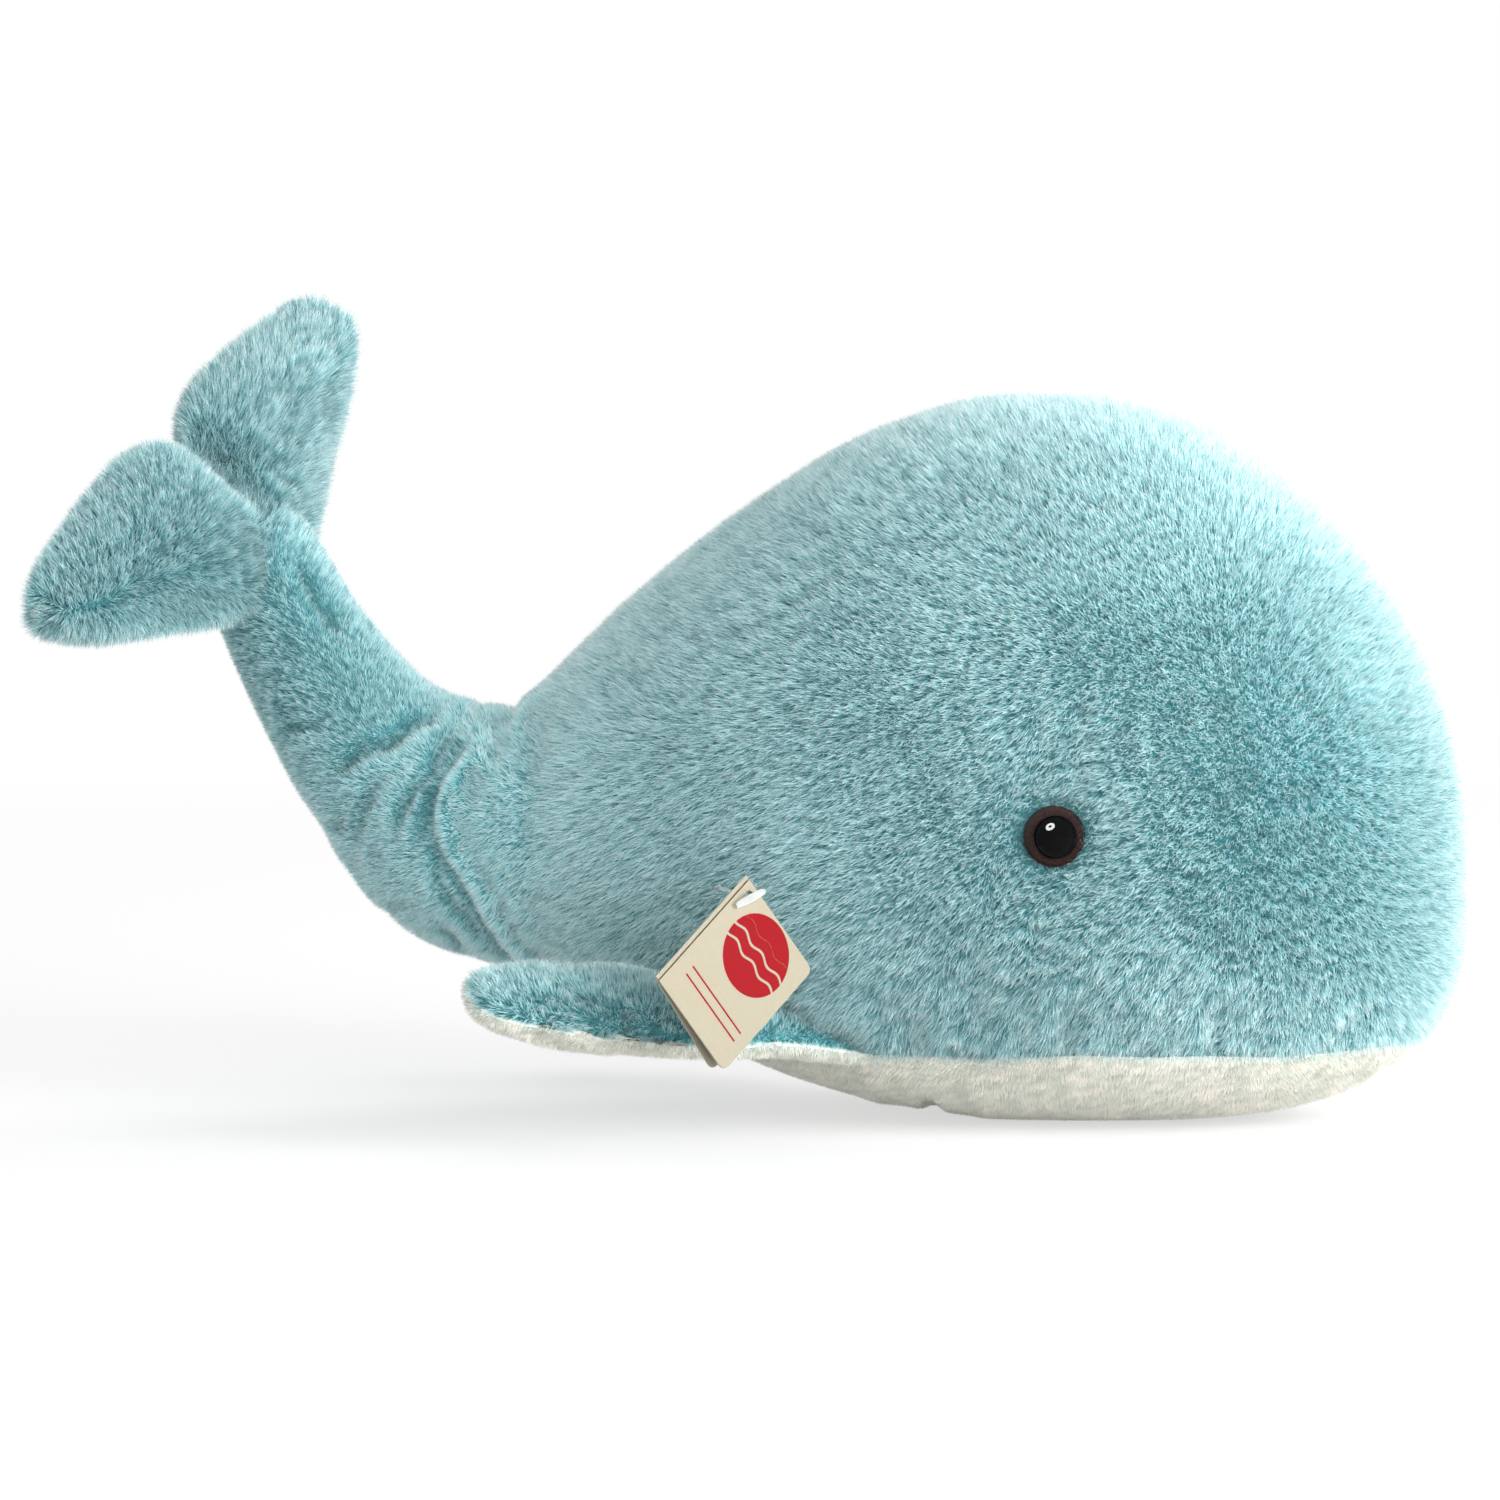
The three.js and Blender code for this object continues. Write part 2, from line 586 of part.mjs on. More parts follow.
function tailForm(inset, lengthwise, round) {
  const first = tailRunShares[0][0];
  const step = (tailRunShares.at(-1)[0] - first) / (lengthwise - 1);
  const at = (t) => vec(tailRoot.x + (tail.endX - tailRoot.x) * t, 0,
    tailRoot.z + (tail.endZ - tailRoot.z) * smooth(tailRunShares, t, 1));
  const rings = Array.from({ length: lengthwise }, (_, k) => {
    const t = first + step * k;
    const direction = at(t + step / 2).sub(at(t - step / 2)).normalize();
    const size = tail.rootRadius * smooth(tailRunShares, t, 2);
    const upward = vec(-direction.z, 0, direction.x);
    return ringAt(at(t), upward, size - inset, vec(0, 1, 0), size * tailWidthShare - inset, round);
  });
  return loft(rings);
}

function tailPieces() {
  const direction = inPlane(tail.endAngle);
  const end = behind(vec(tail.endX, 0, tail.endZ).addScaledVector(direction, -slideGap / 2), direction);
  const round = wedge(tailRoot.x, tailRoot.z, tailRoot.upperEdgeAngle, tailRoot.lowerEdgeAngle);
  const trim = (solid) => solid.subtract(rootForm(slideGap)).intersect(round).intersect(end);
  const outer = tailForm(0, facets.tailRings, facets.tailSides);
  return {
    cover: trim(outer.subtract(tailForm(tail.plush, facets.tailInnerRings, facets.tailInnerSides))),
    stuffing: trim(tailForm(tail.plush + fillGap, facets.tailInnerRings, facets.tailInnerSides)),
  };
}

// Fluke: two plump lobes that meet in a shallow notch, on a short neck

function flukeFrame() {
  const lean = radians(fluke.leanAngle);
  const chord = inPlane(fluke.riseAngle).multiplyScalar(Math.cos(lean)).add(vec(0, -Math.sin(lean), 0));
  const level = vec(0, 1, 0).addScaledVector(chord, -chord.y).normalize();
  const span = level.applyAxisAngle(chord, -radians(fluke.twistAngle));
  return { root: vec(tail.endX, 0, tail.endZ), chord, span, face: span.clone().cross(chord).normalize() };
}

function flukeForm(inset, lengthwise, round) {
  const { root, chord, span, face } = flukeFrame();
  const rings = Array.from({ length: lengthwise }, (_, k) => {
    const across = -Math.cos(Math.PI * (k + shortOfTip) / (lengthwise - 1 + 2 * shortOfTip));
    const place = Math.abs(across);
    const tip = (1 - place ** tipPower) ** (1 / tipPower);
    const leading = fluke.chord * smooth(leadingShares, place);
    const trailing = fluke.chord * smooth(trailingShares, place);
    const centre = along(root, [span, (fluke.halfSpan - inset) * across], [chord, (leading + trailing) / 2]);
    const halfChord = ((trailing - leading) / 2 - inset) * tip;
    const halfThickness = (fluke.halfThickness * smooth(lobeShares, place) - inset) * tip;
    return ringAt(centre, chord, halfChord, face, halfThickness, round);
  });
  const direction = inPlane(tail.endAngle);
  const u = span.clone().addScaledVector(direction, -span.dot(direction)).normalize();
  const v = u.clone().cross(direction);
  const small = tail.endRadius - inset;
  const neck = loft([
    ringAt(along(root, [direction, -overrun]), u, small, v, small, facets.neckSides),
    ringAt(along(root, [direction, fluke.neckLength]), u, small, v, small, facets.neckSides),
    ringAt(along(root, [chord, fluke.neckRun]), span, fluke.neckWidth - inset,
      face, fluke.neckThickness - inset, facets.neckSides),
  ]);
  return loft(rings).add(neck);
}

function flukePieces() {
  const { root, face } = flukeFrame();
  const direction = inPlane(tail.endAngle);
  const start = behind(along(root, [direction, slideGap / 2]), direction);
  const upper = face.z > 0 ? face : face.clone().negate();
  const trim = (solid) => solid.subtract(start);
  const shell = flukeForm(0, facets.flukeRings, facets.flukeSides)
    .subtract(flukeForm(fluke.plush, facets.flukeInnerRings, facets.flukeInnerSides));
  return {
    top: trim(shell.subtract(behind(along(root, [upper, sewnGap / 2]), upper))),
    under: trim(shell.intersect(behind(along(root, [upper, -sewnGap / 2]), upper))),
    stuffing: trim(flukeForm(fluke.plush + fillGap, facets.flukeInnerRings, facets.flukeInnerSides)),
  };
}

// Body pieces: two side panels, a belly panel and the stuffing inside them

function bodyPieces() {
  const notches = [flipperBead(slideGap), flipperBead(slideGap).mirror([0, 1, 0])];
  const floor = behind(vec(0, 0, 0), vec(0, 0, 1));
  const hollow = bodyForm(body.plush, body.bellyPlush, facets.innerRings, facets.innerSides);
  const outer = bodyForm(0, 0, facets.bodyRings, facets.bodySides);
  const shell = outer.subtract(hollow).subtract(floor).subtract(notches[0]).subtract(notches[1])
    .subtract(eyePocket(1)).subtract(eyePocket(-1)).subtract(washerPocket(1)).subtract(washerPocket(-1))
    .subtract(fastenerBore());
  const below = (height) => behind(vec(0, 0, height), vec(0, 0, 1));
  const above = shell.subtract(below(body.seamHeight + sewnGap / 2));
  const core = bodyForm(body.plush + fillGap, body.bellyPlush + fillGap,
    facets.innerRings, facets.innerSides);
  return {
    left: above.subtract(behind(vec(0, sewnGap / 2, 0), vec(0, 1, 0))),
    right: above.intersect(behind(vec(0, -sewnGap / 2, 0), vec(0, 1, 0))),
    belly: shell.intersect(below(body.seamHeight - sewnGap / 2)),
    stuffing: core.subtract(washerPocket(1)).subtract(washerPocket(-1)).subtract(fastenerBore())
      .subtract(notches[0]).subtract(notches[1]),
  };
}

// Materials

const finishes = {
  aquaPlush: { color: 0x7fb9bf, roughness: 0.95, metalness: 0 },
  whitePlush: { color: 0xdadbd3, roughness: 0.95, metalness: 0 },
  filling: { color: 0xe8e8e4, roughness: 1, metalness: 0 },
  glossBlack: { color: 0x0b0a0b, roughness: 0.08, metalness: 0 },
  brownSuede: { color: 0x4a2f2b, roughness: 0.9, metalness: 0 },
  whitePlastic: { color: 0xe4e4e0, roughness: 0.5, metalness: 0 },
  creamCard: { color: 0xdccdb8, roughness: 0.8, metalness: 0 },
  clearPlastic: { color: 0xe0e2e2, roughness: 0.3, metalness: 0 },
};

// A piece is one body: crumbs of no volume that a cut leaves beside it are dropped
function piece(name, solid, finish) {
  const whole = solid.decompose().reduce((a, b) => (Math.abs(b.volume()) > Math.abs(a.volume()) ? b : a));
  const { vertProperties, triVerts } = whole.getMesh();
  const geometry = new THREE.BufferGeometry();
  geometry.setAttribute('position', new THREE.BufferAttribute(vertProperties, 3));
  geometry.setIndex(new THREE.BufferAttribute(triVerts, 1));
  const mesh = new THREE.Mesh(geometry, new THREE.MeshStandardMaterial(finishes[finish]));
  mesh.name = name;
  return mesh;
}

const whale = new THREE.Group();
const panels = bodyPieces();
whale.add(
  piece('right_side_panel', panels.right, 'aquaPlush'),
  piece('left_side_panel', panels.left, 'aquaPlush'),
  piece('belly_panel', panels.belly, 'whitePlush'),
  piece('body_stuffing', panels.stuffing, 'filling'),
);
for (const [side, name] of [[-1, 'right'], [1, 'left']]) {
  whale.add(
    piece(`${name}_eye`, eyeBall(side), 'glossBlack'),
    piece(`${name}_eye_ring`, eyeRing(side), 'brownSuede'),
    piece(`${name}_eye_washer`, eyeWasher(side), 'whitePlastic'),
  );
  const paddle = flipperPieces(side > 0);
  whale.add(
    piece(`${name}_flipper_top`, paddle.top, 'aquaPlush'),
    piece(`${name}_flipper_underside`, paddle.under, 'whitePlush'),
    piece(`${name}_flipper_stuffing`, paddle.stuffing, 'filling'),
  );
}
const stalk = tailPieces();
whale.add(piece('tail_cover', stalk.cover, 'aquaPlush'), piece('tail_stuffing', stalk.stuffing, 'filling'));
const lobes = flukePieces();
whale.add(
  piece('fluke_top', lobes.top, 'aquaPlush'),
  piece('fluke_underside', lobes.under, 'aquaPlush'),
  piece('fluke_stuffing', lobes.stuffing, 'filling'),
);
whale.add(
  piece('tag_front_leaf', frontLeaf(), 'creamCard'),
  piece('tag_back_leaf', backLeaf(), 'creamCard'),
  piece('tag_fastener', fastenerSolid(), 'clearPlastic'),
);

export default whale;
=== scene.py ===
"""A stuffed toy whale that lies on its belly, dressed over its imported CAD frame.

Lengths are millimetres, +X to the snout, +Y to the whale's left, +Z up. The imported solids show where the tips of
the pile are, so every skin lies a little inside them and the pile grows out to them.
"""
import logging
import math
from dataclasses import dataclass, field
from enum import Enum

import bmesh
import bpy
import numpy as np
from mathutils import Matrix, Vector


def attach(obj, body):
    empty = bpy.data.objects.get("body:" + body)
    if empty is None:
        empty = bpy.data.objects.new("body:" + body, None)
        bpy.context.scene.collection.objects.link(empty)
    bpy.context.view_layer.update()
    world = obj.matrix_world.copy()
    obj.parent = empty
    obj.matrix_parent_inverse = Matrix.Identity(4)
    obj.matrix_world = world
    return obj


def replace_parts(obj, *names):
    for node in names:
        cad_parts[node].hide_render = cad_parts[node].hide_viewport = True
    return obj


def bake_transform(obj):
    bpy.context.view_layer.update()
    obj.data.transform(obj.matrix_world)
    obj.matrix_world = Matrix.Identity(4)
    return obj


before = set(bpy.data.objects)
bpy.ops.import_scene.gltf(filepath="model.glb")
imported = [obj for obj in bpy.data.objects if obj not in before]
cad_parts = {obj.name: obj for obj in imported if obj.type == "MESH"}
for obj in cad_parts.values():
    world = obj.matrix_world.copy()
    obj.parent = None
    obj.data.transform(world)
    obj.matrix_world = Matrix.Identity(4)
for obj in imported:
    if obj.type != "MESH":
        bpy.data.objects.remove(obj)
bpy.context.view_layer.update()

Array = np.ndarray
Colour = tuple[float, float, float]
Socket = bpy.types.NodeSocket
Material = bpy.types.Material
Object = bpy.types.Object
METRE = 0.001  # one millimetre in metres
log = logging.getLogger("whale")


class Side(Enum):
    """Which side of the whale a piece is on, with the sign of its Y."""

    RIGHT = -1
    LEFT = 1

    def named(self, part: str) -> str:
        """The piece's name, such as right_eye."""
        return f"{self.name.lower()}_{part}"


# Shapes: small helpers on whole arrays


def unit(v: Array) -> Array:
    """Vectors of length one: v / |v|."""
    return v / np.maximum(np.linalg.norm(v, axis=-1, keepdims=True), 1e-9)


def ease(low: float, high: float, value: Array) -> Array:
    """Smoothstep: t * t * (3 - 2 t), where t runs from 0 at low to 1 at high."""
    t = np.clip((np.asarray(value, float) - low) / (high - low), 0, 1)
    return t * t * (3 - 2 * t)


def bell(distance: Array, width: float) -> Array:
    """A bump of height one: exp(-(distance / width) squared)."""
    return np.exp(-((np.asarray(distance) / width) ** 2))


def level(v: Array, normals: Array) -> Array:
    """What vectors have across the normals: v - n (v . n)."""
    return v - normals * (v * normals).sum(-1, keepdims=True)


def bow(value: Array, power: float) -> Array:
    """Superellipse coordinate: sign(v) * |v| ** (2 / power), where a power of 2 leaves it alone."""
    return np.sign(value) * np.abs(value) ** (2 / power)


def on_the_right(p: Array) -> Array:
    """Points, with those of the left side mirrored to the right."""
    return np.stack([p[:, 0], -np.abs(p[:, 1]), p[:, 2]], axis=1)


def smooth(rows: Array, place: Array, column: int = 1) -> Array:
    """A cubic curve through rows of [place, value, ...].

    Between two rows it is the Hermite cubic whose slopes are (next - previous) / (their distance).

    Args:
        rows: Table, its first column rising.
        place: Where the curve is read.
        column: Which value is read.

    Returns:
        The value at each place.
    """
    rows = np.asarray(rows, float)
    at, value = rows[:, 0], rows[:, column]
    padded_at = np.concatenate([at[:1], at, at[-1:]])
    padded = np.concatenate([value[:1], value, value[-1:]])
    slope = (padded[2:] - padded[:-2]) / (padded_at[2:] - padded_at[:-2])
    i = np.clip(np.searchsorted(at, place, side="right") - 1, 0, len(at) - 2)
    width = at[i + 1] - at[i]
    t = np.clip((place - at[i]) / width, 0, 1)
    stay = (1 + 2 * t) * (1 - t) ** 2
    return stay * value[i] + (1 - stay) * value[i + 1] + width * t * (1 - t) * ((1 - t) * slope[i] - t * slope[i + 1])


class Sized:
    """What has sizes: its tuples of numbers are arrays once it is made."""

    def __post_init__(self) -> None:
        """Makes the arrays."""
        for name, value in list(vars(self).items()):
            if isinstance(value, tuple):
                setattr(self, name, np.array(value, float))


@dataclass
class Ripples:
    """An even random field: the mean of plane waves cos(k . p + phase) of one wavelength, in random directions."""

    wavelength: float
    seed: int
    waves: int = 18

    def __post_init__(self) -> None:
        """Draws the waves."""
        rng = np.random.default_rng(self.seed)
        spread = rng.uniform(0.75, 1.3, (self.waves, 1))
        self.k = unit(rng.normal(size=(self.waves, 3))) * 2 * math.pi / self.wavelength * spread
        self.phase = rng.uniform(0, 2 * math.pi, self.waves)

    def value(self, p: Array) -> Array:
        """The field, of spread about one: sqrt(2 / n) * sum cos(k . p + phase)."""
        return math.sqrt(2 / self.waves) * np.cos(p @ self.k.T + self.phase).sum(-1)

    def slope(self, p: Array) -> Array:
        """The field's gradient times its wavelength / 2 pi, so that it has a spread of about one too."""
        turned = -np.sin(p @ self.k.T + self.phase)
        return math.sqrt(2 / self.waves) * turned @ self.k * self.wavelength / (2 * math.pi)


@dataclass
class Grid:
    """A surface as a grid of points (rows, columns, 3), with what points outwards and how hollow it is at each."""

    points: Array
    outward: Array
    hollow: Array | None = None

    @staticmethod
    def of(points: Array, middle: Array) -> "Grid":
        """Finds the normals of a grid round a line: the cross product of its two differences, turned outwards.

        Args:
            points: The grid, (rows, columns, 3).
            middle: One point inside for each row, (rows, 3).

        Returns:
            The grid with its normals.
        """
        return Grid(points, points - middle[:, None]).moved(points)

    def moved(self, points: Array) -> "Grid":
        """The grid with its points elsewhere and its normals found again, on the side that they were on.

        Args:
            points: Where its points are now.

        Returns:
            The grid, with the same hollow.
        """
        joined = np.allclose(points[:, 0], points[:, -1])
        down = np.gradient(points, axis=0)
        across = np.gradient(points, axis=1)
        if joined:
            both = (points[:, 1] - points[:, -2]) / 2
            across[:, 0] = across[:, -1] = both
        normal = np.cross(down, across)
        flat = np.linalg.norm(normal, axis=-1) < 1e-9
        normal[flat] = self.outward[flat]
        normal = unit(normal) * np.sign((unit(normal) * unit(self.outward)).sum(-1).mean())
        for end, inner in ((0, 1), (-1, -2)):
            if flat[end].all():
                normal[end] = unit(points[end] - points[inner].mean(axis=0))
        return Grid(points, normal, self.hollow)

    def inset(self, depth: Array) -> "Grid":
        """The grid moved inwards by a depth at each point."""
        moved = self.points - self.outward * np.broadcast_to(depth, self.points.shape[:2])[..., None]
        return Grid(moved, self.outward, self.hollow)

    def mirrored(self) -> "Grid":
        """The grid on the other side of the whale."""
        flip = np.array([1, -1, 1])
        return Grid(self.points * flip, self.outward * flip, self.hollow)

    def scatter(self, density: float) -> tuple[Array, Array, Array]:
        """Spreads points evenly: each cell gets its area times the density, placed by a low-discrepancy sequence.

        Args:
            density: Points for each square millimetre.

        Returns:
            Points, their normals and how hollow the skin is there.
        """
        p = self.points
        hollow = np.zeros(p.shape[:2]) if self.hollow is None else self.hollow
        a, b, c, d = p[:-1, :-1], p[1:, :-1], p[1:, 1:], p[:-1, 1:]
        area = np.linalg.norm(np.cross(c - a, d - b), axis=-1) / 2
        ends = np.floor(np.cumsum(area.ravel() * density)).astype(int)
        cell = np.repeat(np.arange(len(ends)), np.diff(ends, prepend=0))
        k = np.arange(len(cell))
        s, t = ((0.5 + k * 0.7548776662) % 1)[:, None], ((0.5 + k * 0.5698402910) % 1)[:, None]
        i, j = np.divmod(cell, area.shape[1])

        def at(values: Array) -> Array:
            """Bilinear mix of a cell's four corners."""
            low = values[i, j] * (1 - t) + values[i, j + 1] * t
            high = values[i + 1, j] * (1 - t) + values[i + 1, j + 1] * t
            return low * (1 - s) + high * s

        return at(p), unit(at(self.outward)), at(hollow[..., None])[:, 0]

    def faces(self) -> tuple[Array, Array]:
        """Points and four-cornered faces, each face turned outwards.

        Returns:
            Points (n, 3) and indices (m, 4).
        """
        rows, columns = self.points.shape[:2]
        first = (np.arange(rows - 1)[:, None] * columns + np.arange(columns - 1)).ravel()
        quads = np.stack([first, first + columns, first + columns + 1, first + 1], axis=1)
        flat = self.points.reshape(-1, 3)
        face = np.cross(flat[quads[:, 2]] - flat[quads[:, 0]], flat[quads[:, 3]] - flat[quads[:, 1]])
        if (face * self.outward.reshape(-1, 3)[quads[:, 0]]).sum() < 0:
            quads = quads[:, ::-1]
        return flat, quads


# Meshes


def to_object(name: str, points: Array, faces: Array, rounded: bool = True) -> Object:
    """Makes a mesh object at the origin from points in millimetres.

    Args:
        name: Name of the piece.
        points: (n, 3).
        faces: (m, corners), all faces with the same count.
        rounded: Whether it is shaded smoothly.

    Returns:
        The object, linked to the scene.
    """
    mesh = bpy.data.meshes.new(name)
    corners = faces.shape[1]
    mesh.vertices.add(len(points))
    mesh.vertices.foreach_set("co", (points * METRE).astype(np.float32).ravel())
    mesh.loops.add(faces.size)
    mesh.loops.foreach_set("vertex_index", faces.astype(np.int32).ravel())
    mesh.polygons.add(len(faces))
    mesh.polygons.foreach_set("loop_start", np.arange(len(faces), dtype=np.int32) * corners)
    mesh.polygons.foreach_set("use_smooth", np.full(len(faces), rounded))
    mesh.update(calc_edges=True)
    made = bpy.data.objects.new(name, mesh)
    bpy.context.scene.collection.objects.link(made)
    return made


def weld(mesh: bpy.types.Mesh, distance: float, skin: bool) -> None:
    """Merges the points of a mesh that meet.

    Args:
        mesh: The mesh.
        distance: How near they have to be, in millimetres.
        skin: Whether it is a skin, whose holes are closed and which is shaded smoothly, or else a flat solid.
    """
    work = bmesh.new()
    work.from_mesh(mesh)
    bmesh.ops.remove_doubles(work, verts=work.verts, dist=distance * METRE)
    if skin:
        bmesh.ops.holes_fill(work, edges=[e for e in work.edges if e.is_boundary], sides=0)
    for f in work.faces:
        f.smooth = skin
    work.to_mesh(mesh)
    work.free()


def closed(name: str, grid: Grid) -> Object:
    """Makes a grid into a closed mesh, with its seams and its poles shut.

    Args:
        name: Name of the piece.
        grid: Its surface.

    Returns:
        The object.
    """
    made = to_object(name, *grid.faces())
    weld(made.data, 0.02, True)
    return made


def store(mesh: bpy.types.Mesh, name: str, values: Array) -> None:
    """Writes a number or a vector for each point of a mesh."""
    kind, key = ("FLOAT", "value") if values.ndim == 1 else ("FLOAT_VECTOR", "vector")
    mesh.attributes.new(name, kind, "POINT").data.foreach_set(key, values.astype(np.float32).ravel())


# Padding


@dataclass(frozen=True)
class Padding:
    """Blender's Cloth under a light pressure, which swells a sewn skin between its seams and creases."""

    pressure: float = 4.0
    slack: float = 0.015  # how much larger the cloth is cut than the form that it covers
    frames: int = 20
    cap: float = 1.8  # how far a point may move
    step: int = 3  # rows and columns of the skin for each of the cloth
    crease: float = 0.9  # depth past which a point is held as sewn

    def swell(self, grid: Grid, fade: float) -> Grid:
        """Runs the cloth on a coarser copy of a skin and moves the skin with it; its rim and its creases are held.

        Args:
            grid: The skin.
            fade: Share of the rows over which the swelling eases out towards either end.
        """
        rows, columns = (self.chosen(n) for n in grid.points.shape[:2])
        first, last = (int(np.ptp(grid.points[end], axis=0).max() < 0.5) for end in (0, -1))
        place = np.ix_(rows[first:len(rows) - last], columns)  # without a row that is one point
        coarse = Grid(grid.points[place], grid.outward[place])
        points, faces = coarse.faces()
        cloth = to_object("padding", points, faces)
        held = np.ones(coarse.points.shape[:2], bool)
        held[1:-1, 1:-1] = False
        if grid.hollow is not None:
            held |= grid.hollow[place] > self.crease
        cloth.vertex_groups.new(name="held").add(np.flatnonzero(held).tolist(), 1.0, "REPLACE")
        settings = cloth.modifiers.new("cloth", "CLOTH").settings
        settings.vertex_group_mass = "held"
        settings.use_pressure = True
        settings.uniform_pressure_force = self.pressure
        settings.shrink_min = -self.slack
        settings.effector_weights.gravity = 0
        scene = bpy.context.scene
        scene.frame_set(0)  # so that the first frame is a change of frame, which starts the cloth
        for frame_number in range(1, self.frames + 1):
            scene.frame_set(frame_number)
        result = cloth.evaluated_get(bpy.context.evaluated_depsgraph_get()).data
        at = np.empty(len(points) * 3, np.float32)
        result.vertices.foreach_get("co", at)
        shift = (at.reshape(-1, 3) / METRE - points).reshape(coarse.points.shape)
        length = np.linalg.norm(shift, axis=-1, keepdims=True)
        shift *= np.minimum(1, self.cap / np.maximum(length, 1e-9))
        shift = np.pad(shift, ((first, last), (0, 0), (0, 0)))
        at_row = (rows / rows[-1])[:, None, None]
        shift *= ease(0, fade, at_row) * ease(0, fade, 1 - at_row)
        log.info("cloth of %d points moved %.2f mm on average", len(points), length.mean())
        bpy.data.objects.remove(cloth)
        scene.frame_set(1)
        return grid.moved(grid.points + self.between(rows, columns, shift, grid.points.shape[:2]))

    def skin(self, grid: Grid, depth: Array | float, cloth: float, fade: float) -> Grid:
        """The skin at a depth below the tips of the pile, swollen by cloth that runs at a lesser depth.

        Args:
            grid: Where the tips of the pile are.
            depth: How far inside them the skin is.
            cloth: How far inside them the cloth is.
            fade: As for swell.

        Returns:
            The skin.
        """
        return self.swell(grid.inset(cloth), fade).inset(depth - cloth)

    def chosen(self, count: int) -> Array:
        """Every few of a count of rows, with the first and the last."""
        return np.unique(np.append(np.arange(0, count, self.step), count - 1))

    def between(self, rows: Array, columns: Array, shift: Array, shape: tuple[int, int]) -> Array:
        """The cloth's movement at each point of the skin, eased between its rows and then between its columns.

        Args:
            rows: Rows of the skin that the cloth has.
            columns: And its columns.
            shift: The cloth's movement.
            shape: Rows and columns of the skin.

        Returns:
            The skin's movement, low * (1 - t) + high * t, where t eases from the lower place to the higher one.
        """
        for chosen, count in zip((rows, columns), shape):
            place = np.arange(count)
            low = np.clip(np.searchsorted(chosen, place, side="right") - 1, 0, len(chosen) - 2)
            share = ease(0, 1, (place - chosen[low]) / (chosen[low + 1] - chosen[low]))[:, None, None]
            shift = (shift[low] * (1 - share) + shift[low + 1] * share).swapaxes(0, 1)
        return shift


PADDING = Padding()


# Finishes


class Nodes:
    """Adds shader nodes to a tree."""

    def __init__(self, tree: bpy.types.NodeTree) -> None:
        """Keeps the tree."""
        self.tree = tree

    def node(self, kind: str, *values: object, **settings: object) -> bpy.types.Node:
        """Adds a node.

        Args:
            kind: Its type.
            values: What its inputs get, in their order: a socket, a value, or None where one is left alone.
            settings: Its properties.

        Returns:
            The node.
        """
        made = self.tree.nodes.new(kind)
        for key, value in settings.items():
            setattr(made, key, value)
        for socket, value in zip(made.inputs, values):
            if isinstance(value, Socket):
                self.tree.links.new(value, socket)
            elif value is not None:
                socket.default_value = value
        return made

    def ramp(self, source: Socket, stops: list[tuple[float, Colour]]) -> Socket:
        """A colour ramp on a number, with its places rising.

        Args:
            source: The number.
            stops: Places from 0 to 1 and their colours.

        Returns:
            The colour.
        """
        made = self.node("ShaderNodeValToRGB", source)
        bar = made.color_ramp.elements
        while len(bar) < len(stops):
            bar.new(0.5)
        for element, (place, colour) in zip(bar, stops):
            element.position = place
            element.color = (*colour, 1)
        return made.outputs[0]

    def noise(self, scale: float, detail: float = 2.0) -> Socket:
        """Noise on Object coordinates, its scale in cycles for each metre."""
        place = self.node("ShaderNodeTexCoord").outputs["Object"]
        return self.node("ShaderNodeTexNoise", place, None, scale, detail).outputs[0]

    def maths(self, operation: str, a: Socket | float, b: Socket | float | None = None) -> Socket:
        """One step of arithmetic."""
        return self.node("ShaderNodeMath", a, b, operation=operation).outputs[0]

    def mix(self, factor: Socket | float, a: Socket, b: Socket | Colour, blend: str = "MIX") -> Socket:
        """Mixes two colours."""
        b = b if isinstance(b, Socket) else (*b, 1)
        return self.node("ShaderNodeMix", factor, *[None] * 5, a, b, data_type="RGBA", blend_type=blend).outputs[2]

    def direct(self) -> Socket:
        """One for what the camera sees by itself, in a reflection or through a clear piece, and nought for light."""
        path = self.node("ShaderNodeLightPath").outputs
        seen = self.maths("MAXIMUM", path["Is Camera Ray"], path["Is Glossy Ray"])
        return self.maths("MAXIMUM", seen, path["Is Transmission Ray"])

    def glow(self, strength: float) -> Socket:
        """White light of a level."""
        return self.node("ShaderNodeEmission", (1, 1, 1, 1), strength).outputs[0]

    def surface(self, share: Socket | float, a: Socket, b: Socket) -> Socket:
        """Mixes two shaders."""
        return self.node("ShaderNodeMixShader", share, a, b).outputs[0]


class Recipe(Nodes):
    """Builds a material from shader nodes."""

    def __init__(self, name: str, **values: object) -> None:
        """Starts a principled material, whose sockets get the values, an underscore standing for a space.

        Args:
            name: Name of the material.
            values: Settings of the principled shader, such as Roughness=0.6.
        """
        self.material = bpy.data.materials.new(name)
        self.material.use_nodes = True
        super().__init__(self.material.node_tree)
        self.shader = self.tree.nodes["Principled BSDF"]
        for key, value in values.items():
            self.shader.inputs[key.replace("_", " ")].default_value = value

    def coloured(self, colour: Socket) -> Material:
        """The material, with its colour."""
        self.tree.links.new(colour, self.shader.inputs["Base Color"])
        return self.material

    def shown(self, shader: Socket) -> Material:
        """The material, showing another shader than the principled one."""
        self.tree.links.new(shader, self.tree.nodes["Material Output"].inputs[0])
        return self.material


